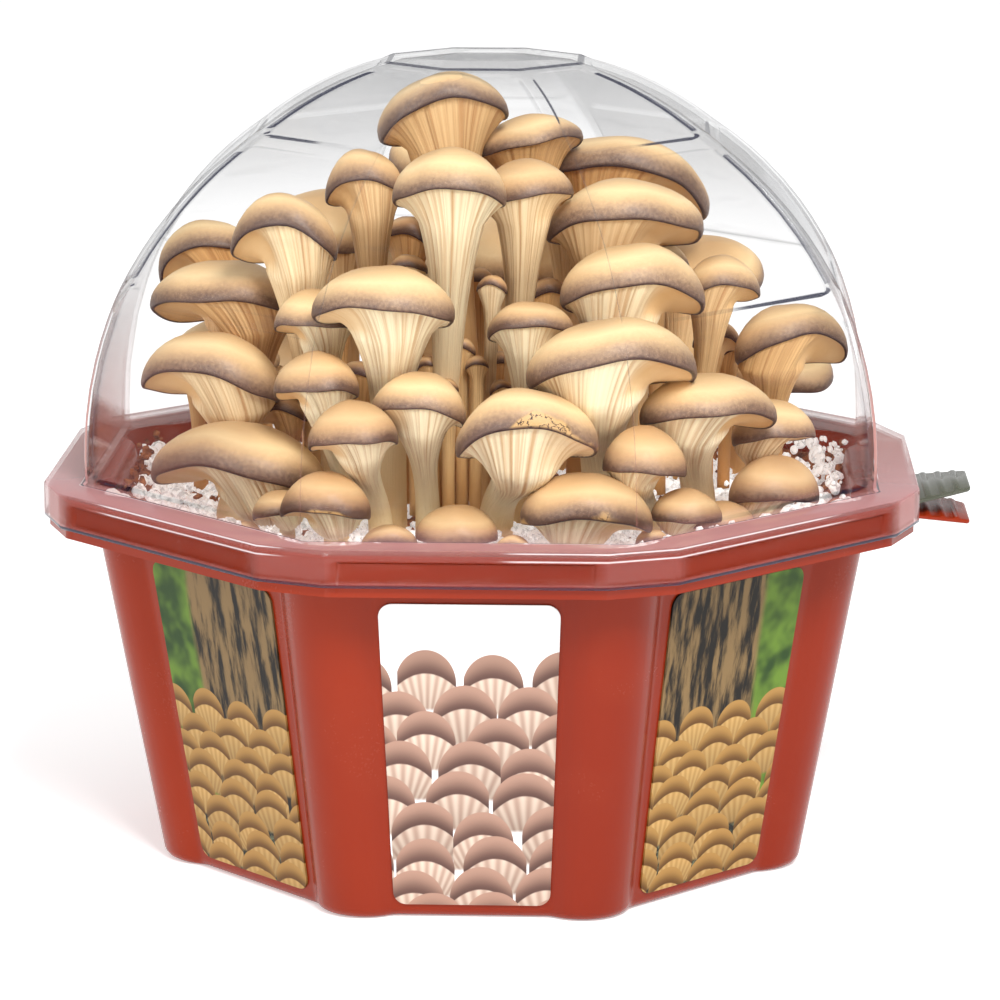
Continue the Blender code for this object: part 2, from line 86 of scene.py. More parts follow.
# %% A socket that can be added and multiplied
class Value:
    def __init__(self, finish, socket):
        self.finish, self.socket = finish, socket

    def _with(self, operation, *others, swap=False):
        terms = [*others, self] if swap else [self, *others]
        return self.finish.node("ShaderNodeMath", {"operation": operation}, dict(enumerate(terms)))

    def __add__(self, other):
        return self._with("ADD", other)

    def __sub__(self, other):
        return self._with("SUBTRACT", other)

    def __rsub__(self, other):
        return self._with("SUBTRACT", other, swap=True)

    def __mul__(self, other):
        return self._with("MULTIPLY", other)

    def __truediv__(self, other):
        return self._with("DIVIDE", other)

    def __pow__(self, other):
        return self._with("POWER", other)

    __radd__ = __add__
    __rmul__ = __mul__

    def at_least(self, other):
        return self._with("MAXIMUM", other)

    def at_most(self, other):
        return self._with("MINIMUM", other)

    def wave(self):
        return self._with("SINE")

    def fraction(self):
        return self._with("FRACT")

    def floor(self):
        return self._with("FLOOR")

    def size(self):
        return self._with("ABSOLUTE")

    def rise(self, low, high):
        """0 below low, 1 above high, and smooth between; low may be the higher one."""
        return self.finish.node("ShaderNodeMapRange", {"interpolation_type": "SMOOTHSTEP"},
                                {"Value": self, "From Min": low, "From Max": high}, "Result")


# %% One material
class Finish:
    def __init__(self, name):
        self.material = bpy.data.materials.new(name)
        self.material.use_nodes = True
        self.tree = self.material.node_tree
        self.shader = self.tree.nodes["Principled BSDF"]
        self.output = self.tree.nodes["Material Output"]

    def plug(self, socket, value):
        if isinstance(value, Value):
            self.tree.links.new(value.socket, socket)
        elif isinstance(value, tuple) and len(value) == 3 and socket.type == "RGBA":
            socket.default_value = (*value, 1.0)
        else:
            socket.default_value = value

    def node(self, kind, settings=None, inputs=None, output=0):
        made = self.tree.nodes.new(kind)
        for key, value in (settings or {}).items():
            if key == "stops":
                self.set_stops(made.color_ramp, value)
            else:
                setattr(made, key, value)
        for key, value in (inputs or {}).items():
            self.plug(made.inputs[key], value)
        return Value(self, made.outputs[output])

    @staticmethod
    def set_stops(ramp, stops):
        while len(ramp.elements) < len(stops):
            ramp.elements.new(0.5)
        for element, (place, colour) in zip(ramp.elements, stops):
            element.position = place
            element.color = (*colour, 1.0)

    def set(self, **sockets):
        """Sets or links sockets of the Principled shader; an underscore stands for a space."""
        for key, value in sockets.items():
            self.plug(self.shader.inputs[key.replace("_", " ")], value)

    def mix(self, share, first, second, blend="MIX"):
        return self.node("ShaderNodeMix", {"data_type": "RGBA", "blend_type": blend},
                         {0: share, 6: first, 7: second}, 2)

    def ramp(self, share, *stops):
        return self.node("ShaderNodeValToRGB", {"stops": stops}, {0: share})

    def layer(self, name):
        """A number kept on the mesh's points under this name."""
        return self.node("ShaderNodeAttribute", {"attribute_name": name}, output="Fac")

    def place(self, scale=(1.0, 1.0, 1.0)):
        """The point of the surface in metres, stretched by scale."""
        here = self.node("ShaderNodeTexCoord", output="Object")
        return self.node("ShaderNodeVectorMath", {"operation": "MULTIPLY"}, {0: here, 1: scale})

    def noise(self, scale, detail=3.0, rough=0.5, stretch=(1.0, 1.0, 1.0)):
        """Noise from 0 to 1; scale is in waves per metre."""
        return self.node("ShaderNodeTexNoise", {},
                         {"Vector": self.place(stretch), "Scale": scale, "Detail": detail,
                          "Roughness": rough})

    def bump(self, height, depth):
        """A Normal from a height of 0 to 1 that stands for this many millimetres."""
        return self.node("ShaderNodeBump", {},
                         {"Height": height, "Distance": depth * MM, "Strength": 1.0})


# %% [markdown]
# ## Making a mesh from rings
#
# Tub, lid and mushrooms are all lofts: rings of points with the same count, joined in order. numpy holds
# them as one array of ring, point and coordinate, which is quick even for a hundred thousand faces.


# %% Loft helpers
def lofted(rings, turn=False):
    """Points and faces over rings, with a fan of triangles at both ends; turn flips every face."""
    rings = np.asarray(rings, float)
    count = rings.shape[1]
    low = np.arange(len(rings) - 1)[:, None] * count
    i = np.arange(count)[None, :]
    j = (i + 1) % count
    faces = np.stack([low + i, low + j, low + count + j, low + count + i], -1).reshape(-1, 4).tolist()
    hub, last = len(rings) * count, (len(rings) - 1) * count
    around = [(a, (a + 1) % count) for a in range(count)]
    faces += [[b, a, hub] for a, b in around]
    faces += [[last + a, last + b, hub + 1] for a, b in around]
    if turn:
        faces = [face[::-1] for face in faces]
    return np.concatenate([rings.reshape(-1, 3), [rings[0].mean(0), rings[-1].mean(0)]]), faces


def unit(v):
    return v / np.linalg.norm(v, axis=-1, keepdims=True)


def piece(name, points, faces, finish, slot, stands_for=(), layers=None, sharp=35.0):
    """Makes an object of points in millimetres, with numbers kept on them, and lets it ride."""
    mesh = bpy.data.meshes.new(name)
    mesh.from_pydata((np.asarray(points) * MM).tolist(), [], faces)
    mesh.shade_smooth()
    if sharp:
        mesh.set_sharp_from_angle(angle=math.radians(sharp))
    for layer, values in (layers or {}).items():
        held = mesh.attributes.new(layer, "FLOAT", "POINT")
        held.data.foreach_set("value", np.asarray(values, np.float32).ravel())
    mesh.materials.append(finish.material)
    made = bpy.data.objects.new(name, mesh)
    bpy.context.scene.collection.objects.link(made)
    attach(made, "root")
    if stands_for:
        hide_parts(*stands_for)
    return made


def joined(parts):
    """Several (points, faces) as one."""
    points, faces, start = [], [], 0
    for part_points, part_faces in parts:
        points.append(part_points)
        faces += [[start + v for v in face] for face in part_faces]
        start += len(part_points)
    return np.concatenate(points), faces


# %% [markdown]
# ## Plan of the tub and the lid
#
# Seen from above both are eight-sided with cut corners. Every outline is a distance from the axis in
# each direction, so one function per outline serves every height. 0 degrees is the front, 90 the right.

# %% Shared outline
FRONT_HALF_ANGLE = 21.3
CORNERS = [turn + side * FRONT_HALF_ANGLE for turn in (0, 90, 180, 270) for side in (-1, 1)]
CHAMFER_HALF_ANGLE = 4.4


def ring_at(directions, reach, height):
    """Points in these directions at these distances from the axis."""
    turn = np.radians(directions)
    reach = np.broadcast_to(reach, turn.shape)
    height = np.broadcast_to(height, turn.shape)
    return np.stack([reach * np.sin(turn), -reach * np.cos(turn), height], -1)


def straight_reach(directions, corners, reach):
    """Distance to the straight sides between corners that all lie at this reach."""
    corners = np.sort(np.mod(corners, 360.0))
    out = []
    for d in np.mod(directions, 360.0):
        after = np.searchsorted(corners, d, side="right") % len(corners)
        start, end = corners[after - 1], corners[after]
        span = math.radians((end - start) % 360.0)
        along = math.radians((d - start) % 360.0)
        out.append(reach * math.cos(span / 2) / math.cos(along - span / 2))
    return np.array(out)


def rim_corners():
    return [corner + side * CHAMFER_HALF_ANGLE for corner in CORNERS for side in (-1, 1)]


def rim_reach(directions, half_width):
    far = half_width / math.cos(math.radians(FRONT_HALF_ANGLE - CHAMFER_HALF_ANGLE))
    return straight_reach(directions, rim_corners(), far)


print("corners at", [round(c, 1) for c in CORNERS])

# %% [markdown]
# ## Red plastic
#
# The tub is thin polypropylene, vacuum formed and dyed through: a warm brick red with a soft gloss. A
# real wall is never quite even, so a slow wave bends its reflections, a fine grain breaks its
# highlights, and the colour shifts a little where the sheet was stretched thin.


# %% Red plastic
def red_plastic():
    made = Finish("red_plastic")
    stretch = made.noise(9.0, 2.0)
    cloud = made.noise(60.0, 4.0)
    colour = made.mix(stretch.rise(0.3, 0.7), (0.255, 0.0225, 0.0040), (0.205, 0.0165, 0.0035))
    colour = made.mix(cloud.rise(0.45, 0.8) * 0.25, colour, (0.26, 0.033, 0.011))
    grain = made.noise(1500.0, 2.0)
    made.set(Base_Color=colour, Roughness=grain * 0.05 + cloud * 0.08 + 0.19,
             Normal=made.bump(grain * 0.04 + made.noise(45.0, 2.0), 0.10),
             IOR=1.46, Specular_IOR_Level=0.20)
    return made


RED = red_plastic()

# %% [markdown]
# ## Tub
#
# Its flat panels stand between eight half-round pillars. The CAD solid draws each pillar with seven
# points; here it has many, and a soft maximum of panel and pillar gives the rounded inner corner that a
# mould has. The rim is a skirt with a shallow recess on each side.

# %% Tub dimensions
TUB_WALL, TUB_FLOOR = 1.3, 1.6
TUB_RIM_TOP, TUB_RIM_EDGE, TUB_RIM_HALF_WIDTH = 88.8, 79.8, 98.8
PILLAR_REACH_TOP, PILLAR_REACH_FOOT = 95.0, 78.4
PILLAR_ROUND, PILLAR_EDGE, PILLAR_END = 12.8, 7.2, 9.4
FOOT_ROUND = 2.2
MOULD_ROUND = 0.35
RECESS_DEPTH, RECESS_MARGIN, RECESS_EDGE = 0.55, 1.1, 0.35


def crown_at(height):
    return PILLAR_REACH_FOOT + (PILLAR_REACH_TOP - PILLAR_REACH_FOOT) * height / TUB_RIM_TOP


def pillar_reach(offset, crown):
    """Distance to a pillar's round face, this many degrees off its crown."""
    scale = crown / PILLAR_REACH_TOP
    middle = (PILLAR_REACH_TOP - PILLAR_ROUND) * scale
    turn = np.radians(offset)
    root = np.maximum((PILLAR_ROUND * scale) ** 2 - (middle * np.sin(turn)) ** 2, 0.0)
    return middle * np.cos(turn) + np.sqrt(root)


def body_reach(directions, crown):
    """Distance to the tub's wall: pillars, and flat panels between their edges."""
    edges = [corner + side * PILLAR_EDGE for corner in CORNERS for side in (-1, 1)]
    panel = straight_reach(directions, edges, float(pillar_reach(PILLAR_EDGE, crown)))
    off = np.min(np.abs((np.asarray(directions)[:, None] - np.array(CORNERS) + 180) % 360 - 180), axis=1)
    pillar = pillar_reach(np.minimum(off, PILLAR_END), crown)
    return MOULD_ROUND * np.logaddexp(pillar / MOULD_ROUND, panel / MOULD_ROUND)


TUB_STEPS = np.array([-8.6, -8.0, -7.6, -7.2, -6.8, -6.3, -5.7, -5.0, -4.2, -3.4, -2.6, -1.8, -0.9, 0.0,
                      0.9, 1.8, 2.6, 3.4, 4.2, 5.0, 5.7, 6.3, 6.8, 7.2, 7.6, 8.0, 8.6])
TUB_WAYS = np.sort(np.concatenate([np.add.outer(CORNERS, TUB_STEPS).ravel(),
                                   [c + t for c in (0, 90, 180, 270) for t in (-6.0, 0.0, 6.0)],
                                   [c + t for c in (45, 135, 225, 315) for t in (-7.0, 0.0, 7.0)]]))
print("tub outline of", len(TUB_WAYS), "points")


# %% Tub mesh
def recess_depth(directions):
    """How deep the skirt's recess is in each direction; it keeps a few degrees away from a corner."""
    depths = []
    for d in directions:
        off = min(abs((d - corner + 180) % 360 - 180) for corner in CORNERS)
        share = (off - CHAMFER_HALF_ANGLE - RECESS_MARGIN) / RECESS_EDGE
        depths.append(RECESS_DEPTH * min(1.0, max(0.0, share)))
    return np.array(depths)


RIM_WAYS = np.sort(np.concatenate([TUB_WAYS] + [
    [corner + side * (CHAMFER_HALF_ANGLE + extra) for corner in CORNERS for side in (-1, 1)]
    for extra in (0.0, RECESS_MARGIN, RECESS_MARGIN + RECESS_EDGE)]))


def wall_reach(height, inset=0.0):
    """Distance to the tub's wall at this height, or to a face this far inside it."""
    return body_reach(RIM_WAYS, crown_at(height) - inset)


def tub_mesh():
    """Rings from the foot up the outer wall, round the rim and down the inner wall."""
    under_rim = TUB_RIM_TOP - TUB_WALL
    inner = rim_reach(RIM_WAYS, TUB_RIM_HALF_WIDTH - TUB_WALL)
    outer = rim_reach(RIM_WAYS, TUB_RIM_HALF_WIDTH)
    sunk = outer - recess_depth(RIM_WAYS)
    rows = [(wall_reach(0.0, FOOT_ROUND), 0.0)]
    for turn in (20, 45, 70):
        drop = 1 - math.cos(math.radians(90 - turn))
        lift = 1 - math.cos(math.radians(turn))
        rows.append((wall_reach(FOOT_ROUND * lift, FOOT_ROUND * drop), FOOT_ROUND * lift))
    rows += [(wall_reach(height), height) for height in (FOOT_ROUND, 12, 30, 50, 70, 82, 85.5)]
    rows += [(wall_reach(under_rim, -0.5), under_rim - 0.4), (inner - 0.6, under_rim),
             (inner, under_rim - 0.6), (inner, TUB_RIM_EDGE), (outer, TUB_RIM_EDGE),
             (outer, TUB_RIM_EDGE + 2.6), (sunk, TUB_RIM_EDGE + 3.0), (sunk, TUB_RIM_TOP - 1.7),
             (outer, TUB_RIM_TOP - 1.3), (outer, TUB_RIM_TOP - 0.5), (outer - 0.5, TUB_RIM_TOP),
             (wall_reach(TUB_RIM_TOP, TUB_WALL) + 0.7, TUB_RIM_TOP)]
    rows += [(wall_reach(height, TUB_WALL), height)
             for height in (TUB_RIM_TOP - 0.7, 82, 60, 30, TUB_FLOOR + FOOT_ROUND)]
    rows.append((wall_reach(TUB_FLOOR, TUB_WALL + FOOT_ROUND), TUB_FLOOR))
    return lofted([ring_at(RIM_WAYS, reach, height) for reach, height in rows])


# %% Finger tab
TAB_ROOT_HALF_WIDTH, TAB_TIP_HALF_WIDTH, TAB_TIP_REACH = 15.0, 9.5, 113.0
TAB_THICKNESS, RIDGE_HEIGHT = 1.1, 0.7
TAB_TIP_ROUND, TAB_TIP_THINNER, TAB_TIP_NARROWER = 0.5, 0.35, 0.4
TAB_RIDGES = (103.2, 106.6, 110.0)
RIDGE_SECTION = ((-0.95, 0.0), (-0.7, 0.45), (-0.35, 0.9), (0.0, 1.0), (0.35, 0.9), (0.7, 0.45),
                 (0.95, 0.0))
TAB_SLICE = [(-1, -0.5), (-0.985, -0.78), (-0.95, -1), (0.95, -1), (0.985, -0.78), (1, -0.5),
             (1, 0.5), (0.985, 0.78), (0.95, 1), (-0.95, 1), (-0.985, 0.78), (-1, 0.5)]


def tab_mesh(root, root_height, tip_height):
    """A narrowing plate with three rounded ridges across its upper face."""
    stations = [(root, 0.0)]
    for ridge in TAB_RIDGES:
        stations += [(ridge + shift, RIDGE_HEIGHT * rise) for shift, rise in RIDGE_SECTION]
    stations += [(TAB_TIP_REACH - TAB_TIP_ROUND, 0.0), (TAB_TIP_REACH, -TAB_TIP_THINNER)]
    rings = []
    for reach, rise in stations:
        share = (reach - root) / (TAB_TIP_REACH - root)
        middle = root_height + (tip_height - root_height) * share
        half = TAB_ROOT_HALF_WIDTH + (TAB_TIP_HALF_WIDTH - TAB_ROOT_HALF_WIDTH) * share
        if reach == TAB_TIP_REACH:
            half -= TAB_TIP_NARROWER
        row = []
        for across, up in TAB_SLICE:
            lift = up * 0.5 * TAB_THICKNESS
            if up > 0:
                lift += rise * up * (1 - abs(across) ** 12)
            elif rise < 0:
                lift -= rise * 0.8 * -up
            row.append((reach, across * half, middle + lift))
        rings.append(row)
    return lofted(rings)


tub_parts = joined([tub_mesh(), tab_mesh(TUB_RIM_HALF_WIDTH - 0.5 * TUB_WALL, 80.2, 77.6)])
tub = piece("tub_shell", *tub_parts, RED, "red_plastic", ["tub"], sharp=40.0)
print("tub:", len(tub.data.polygons), "faces")

# %% [markdown]
# ## Clear plastic
#
# The dome is a thin shell of clear plastic. Light goes straight through so thin a wall, so its body is a
# Transparent shader, and the Principled one covers only the share of it that is seen as plastic. That
# share grows at a grazing angle. The rest of it follows four numbers on the mesh: `slope` for painted
# shade, the dark lines where the wall folds at ribs and bands; `veil` for the milky skirt and flange,
# whose pink is painted red light from the tub; `haze` for a slight cloud, which low on the dome also
# carries painted red light from the tub; and `glint` for painted highlights, pale streaks on the rim.


# %% Clear plastic
# Heights in metres between which the dome's wall grows cloudy, and between which it takes on painted red
# light from the tub.
CLOUD_FROM, CLOUD_TO = 0.172, 0.140
PAINTED_TUB_LIGHT_FROM, PAINTED_TUB_LIGHT_TO = 0.148, 0.098
MOST_COVER = 0.93


def clear_plastic(name, painted_veil_colour, veil_share):
    """Clear sheet with painted shade along its folds; a slope over 1 marks an edge whose painted shade is
    dark from any side.
    """
    made = Finish(name)
    slope, veil, haze = made.layer("slope"), made.layer("veil"), made.layer("haze")
    # glint: a painted highlight, pale streaks along the rim broken up by noise
    glint = made.layer("glint") * made.noise(24.0, 2.0).rise(0.42, 0.56)
    facing = made.node("ShaderNodeLayerWeight", {}, {"Blend": 0.5}, "Facing")
    scratch = made.noise(26.0, 2.0, 0.65, (1.0, 1.0, 7.0)).rise(0.58, 0.70)
    # painted shade: dark lines on the slopes at ribs and bands, stronger at a grazing angle, and edges
    # dark from any side
    line = slope.rise(0.45, 0.62) * 0.75 + slope.rise(0.08, 0.35) * 0.16
    line = line * (facing.rise(0.0, 0.35) * 0.78 + 0.22)
    line = line.at_least(slope.rise(1.2, 1.8) * 0.62)
    height = made.node("ShaderNodeSeparateXYZ", {}, {0: made.place()}, "Z")
    wall = height.rise(CLOUD_FROM, CLOUD_TO) * 0.22 + 0.18
    side = facing.rise(0.40, 0.76) * wall + facing.rise(0.88, 0.975) * 0.55
    # painted light: red light from the tub, low on the dome, where the haze lets it show
    painted_tub_light = height.rise(PAINTED_TUB_LIGHT_FROM, PAINTED_TUB_LIGHT_TO)
    side = side + painted_tub_light * facing.rise(0.25, 0.70) * haze * 0.65
    cover = line.at_least(side) + veil * veil_share + haze * 0.034 + scratch * 0.03 + 0.006
    cover = cover.at_most(MOST_COVER).at_least(glint * 0.75)
    # the sheet takes the red of the painted tub light
    sheet = made.mix(painted_tub_light, (0.11, 0.115, 0.13), (0.44, 0.165, 0.135))
    sheet = made.mix(veil, sheet, painted_veil_colour)
    # the painted fold shade is a dark navy
    sheet = made.mix(slope.rise(0.0, 0.3), sheet, (0.012, 0.014, 0.036))
    # where the glint is strong the colour turns near white: a painted highlight
    made.set(Base_Color=made.mix(glint.rise(0.3, 0.7), sheet, (0.93, 0.88, 0.90)),
             Roughness=0.09, IOR=1.46, Specular_IOR_Level=0.35)
    through = made.node("ShaderNodeBsdfTransparent", {}, {"Color": (0.99, 0.99, 0.99)}, "BSDF")
    body = Value(made, made.shader.outputs["BSDF"])
    mixed = made.node("ShaderNodeMixShader", {}, {0: cover, 1: through, 2: body}, "Shader")
    made.plug(made.output.inputs["Surface"], mixed)
    return made


# The veil's pink is painted red light from the tub beneath the milky rim.
CLEAR = clear_plastic("clear_plastic", (0.60, 0.33, 0.34), 0.23)
# On the finger tab the veil is dark grey-olive: painted shade in the clear plastic.
CLEAR_TAB = clear_plastic("clear_tab_plastic", (0.080, 0.085, 0.058), 0.80)

# %% [markdown]
# ## Lid
#
# A skirt hangs over the tub's rim, a flange lies on it, and the dome rises in three tiers. Raised bands
# and ribs part the tiers into panels, which lie a little deeper. Each ring of the dome knows how far it
# is from the bands and each of its points how far it is from a rib, and the nearer of the two says how
# deep the point lies and whether it belongs to the narrow slope between rib and panel.

# %% Lid dimensions
LID_SKIRT_EDGE, LID_FLANGE_TOP, LID_FLANGE = 82.0, 90.1, 1.0
LID_HALF_WIDTH, LID_SKIRT_WALL, LID_EDGE_ROUND = 100.0, 0.9, 0.6
DOME_WALL = 1.0
DOME_FOOT, DOME_LOWER_BAND = (96.2, 90.1), (88.0, 133.5)
DOME_UPPER_BAND, DOME_TOP, DOME_TOP_RISE = (57.0, 167.5), (25.0, 183.2), 0.8
DOME_CURVE, BAND_HALF_HEIGHT = 88.0, 1.3
RIB_HALF_WIDTH, RIB_SLOPE, PANEL_INSET, RIB_FLATTENING = 1.1, 0.7, 0.7, 0.15
PANEL_CORNER = 4.5
# Rings on the flange and the ceiling count as lying on one band, this far from the next.
PAST_ANY_BAND = 9.0


def arc_point(start, end, share):
    """A point on the bulging arc between two bands, as (reach, height)."""
    a, b = np.array(start), np.array(end)
    chord = b - a
    length = np.hypot(*chord)
    outward = np.array([chord[1], -chord[0]]) / length
    depth = DOME_CURVE - math.sqrt(DOME_CURVE**2 - (0.5 * length) ** 2)
    return a + chord * share + outward * depth * (1 - (2 * share - 1) ** 2)


def lid_across(reach):
    """Distances in millimetres each side of a rib's middle at which its section changes."""
    foot = RIB_HALF_WIDTH + RIB_SLOPE
    fixed = [0.0, 0.8 * RIB_HALF_WIDTH, RIB_HALF_WIDTH, RIB_HALF_WIDTH + 0.5 * RIB_SLOPE, foot,
             foot + 0.9, foot + 2.2, foot + 4.2]
    room = 0.86 * reach * math.sin(math.radians(45 - FRONT_HALF_ANGLE))
    return [f * min(1.0, room / fixed[-1]) for f in fixed]


RIB_COLUMNS = 2 * len(lid_across(DOME_FOOT[0])) - 1


# %% Lid rings
def smooth_step(x):
    x = np.clip(x, 0.0, 1.0)
    return x * x * (3 - 2 * x)


def dome_ways(reach):
    """Directions of the dome's columns at this reach, and each one's distance from its rib's middle."""
    across = np.array(lid_across(reach))
    across = np.concatenate([-across[:0:-1], across])
    offsets = np.degrees(np.arcsin(np.clip(across / reach, -0.5, 0.5)))
    return np.add.outer(CORNERS, offsets).ravel(), np.tile(across, len(CORNERS))


# How dark the painted shade along folds is, darker on one side of each rib and band; where the slope
# beside a rib starts and ends, as shares of its width; and the outline of the cluster as the camera sees
# it, as (height, x) pairs.
DARK_EDGE, FAINT_EDGE, ALWAYS_DARK = 1.0, 0.35, 2.0
SLOPE_START, SLOPE_END = 0.3, 1.05
SIDE_EDGE, SIDE_EDGE_SHARE, SIDE_RIB_SINE = 1.6, 0.3, 0.7
LOW_TIER_SHARE, BACK_SHARE = 0.54, 0.40
CLUSTER_LEFT = ((80, -80), (132, -80), (145, -60), (156, -40), (172, -27), (184, -12))
CLUSTER_RIGHT = ((80, 80), (90, 82), (118, 88), (133, 68), (149, 57), (156, 54), (165, 26), (176, 8))
CLUSTER_PLANE, CLUSTER_BLUR, VIEW_SLOPE = -15.0, 5.0, math.tan(ELEVATION)
FOOT_VEIL, FOOT_VEIL_TOP, FOOT_VEIL_FADE, BACK_VEIL = 0.6, 93.6, 1.2, 0.35


def edge_share(points):
    """How strongly the painted fold shade and the cloud show: fully at the sides, not before the cluster,
    and less on the far wall.
    """
    x, y, z = points.T
    seen_at = z + (y - CLUSTER_PLANE) * VIEW_SLOPE
    left, right = (np.interp(seen_at, *zip(*side)) for side in (CLUSTER_LEFT, CLUSTER_RIGHT))
    before = smooth_step((x - left) / CLUSTER_BLUR) * smooth_step((right - x) / CLUSTER_BLUR)
    return np.where(y > 0, BACK_SHARE, 1 - before)


def dome_ring(reach, height, above, below):
    """One outer ring and its slope values, the strength of its painted fold shade, this far above one
    band and below the next.
    """
    ways, across = dome_ways(reach)
    towards_diagonal = np.repeat([-1, 1] * 4, len(ways) // 8)
    from_band = min(above, below)
    band_edge = DARK_EDGE if above < below else FAINT_EDGE
    insets, slopes = [], []
    for way, aside, diagonal in zip(ways, across, towards_diagonal):
        beside = abs(aside) - RIB_HALF_WIDTH
        rib_edge = DARK_EDGE if aside * diagonal > 0 else FAINT_EDGE
        edge = min(beside, from_band)
        strength = rib_edge if beside < from_band else band_edge
        on_side_rib = abs(math.sin(math.radians(way))) > SIDE_RIB_SINE
        wide = on_side_rib and strength == DARK_EDGE and beside < from_band
        if beside < PANEL_CORNER and from_band < PANEL_CORNER:
            edge = PANEL_CORNER - math.hypot(PANEL_CORNER - beside, PANEL_CORNER - from_band)
        sunk = float(smooth_step(edge / RIB_SLOPE))
        insets.append(PANEL_INSET * sunk)
        strength *= LOW_TIER_SHARE if height < DOME_LOWER_BAND[1] else 1.0
        on_slope = SLOPE_START * RIB_SLOPE < edge < SLOPE_END * RIB_SLOPE
        beyond = wide and RIB_SLOPE < edge < SLOPE_END * SIDE_EDGE
        slopes.append(strength * (1.0 if on_slope else SIDE_EDGE_SHARE if beyond else 0.0))
    side = straight_reach(ways, CORNERS, reach)
    on_rib = np.abs(across) <= RIB_HALF_WIDTH
    out = np.where(on_rib, np.maximum(side, reach - RIB_FLATTENING), side - np.array(insets))
    ring = ring_at(ways, out, height)
    return ring, np.array(slopes) * edge_share(ring)


def lid_profile():
    """(reach, height, way above a band, way below the next) from the flange to the top."""
    levels = [DOME_FOOT, DOME_LOWER_BAND, DOME_UPPER_BAND, DOME_TOP]
    profile = []
    for number, (start, end) in enumerate(zip(levels, levels[1:])):
        length = float(np.hypot(*(np.array(end) - np.array(start))))
        low = BAND_HALF_HEIGHT * (0.5 if number == 0 else 1.0)
        high = length - BAND_HALF_HEIGHT
        near = [0.0, 0.5 * RIB_SLOPE, RIB_SLOPE, 1.4, 2.4, 3.6, 5.0]
        middle = [low + 5.0 + (high - low - 10.0) * s for s in (0.15, 0.3, 0.5, 0.7, 0.85)]
        for along in [low + n for n in near] + middle + [high - n for n in near[::-1]]:
            reach, height = arc_point(start, end, along / length)
            profile.append((reach, height, along - low, high - along))
    return profile


# %% Lid mesh
# Rings round the rim, in order: how far inside the half width, height, slope for painted shade, veil, and
# glint for a painted highlight.
BESIDE_RECESS = np.tile([0.0] + [1.0] * (RIB_COLUMNS - 2) + [0.0], len(CORNERS))
UNDER_FLANGE = LID_FLANGE_TOP - LID_FLANGE
RIM_ROWS = [
    (LID_SKIRT_WALL, UNDER_FLANGE, 0.0, 0.0, 0.0),
    (LID_SKIRT_WALL, LID_SKIRT_EDGE, 0.0, 0.0, 0.0),
    (0.2, LID_SKIRT_EDGE, ALWAYS_DARK, 0.0, 0.0),
    (0.0, LID_SKIRT_EDGE + 0.2, ALWAYS_DARK, 0.0, 0.0),
    (0.0, LID_SKIRT_EDGE + 0.55, ALWAYS_DARK, 0.0, 0.0),
    (0.0, LID_SKIRT_EDGE + 0.8, 0.0, 0.8, 0.0),
    (0.0, LID_SKIRT_EDGE + 1.5, 0.0, 0.25, 0.0),
    (0.0, LID_SKIRT_EDGE + 2.0, 0.0, 0.55 * BESIDE_RECESS, 0.0),
    (0.0, LID_FLANGE_TOP - 2.4, 0.0, 0.55 * BESIDE_RECESS, 0.0),
    (0.0, LID_FLANGE_TOP - 1.9, 0.0, 0.5, 0.8),
    (0.0, LID_FLANGE_TOP - 1.5, 0.0, 0.5, 0.0),
    (0.0, LID_FLANGE_TOP - LID_EDGE_ROUND, 0.0, 0.8, 0.0),
    (0.3 * LID_EDGE_ROUND, LID_FLANGE_TOP - 0.3 * LID_EDGE_ROUND, 0.0, 1.0, 0.9),
    (LID_EDGE_ROUND, LID_FLANGE_TOP, 0.0, 1.0, 0.0),
]
# Rings on the flange, inwards to the dome's foot: how far outside the foot, slope for painted shade, and
# glint for a painted highlight.
FLANGE_ROWS = [(1.7, 0.0, 0.0), (1.45, 0.0, 1.0), (1.2, 0.0, 0.0), (0.95, 1.6, 0.0), (0.7, 0.0, 0.0)]


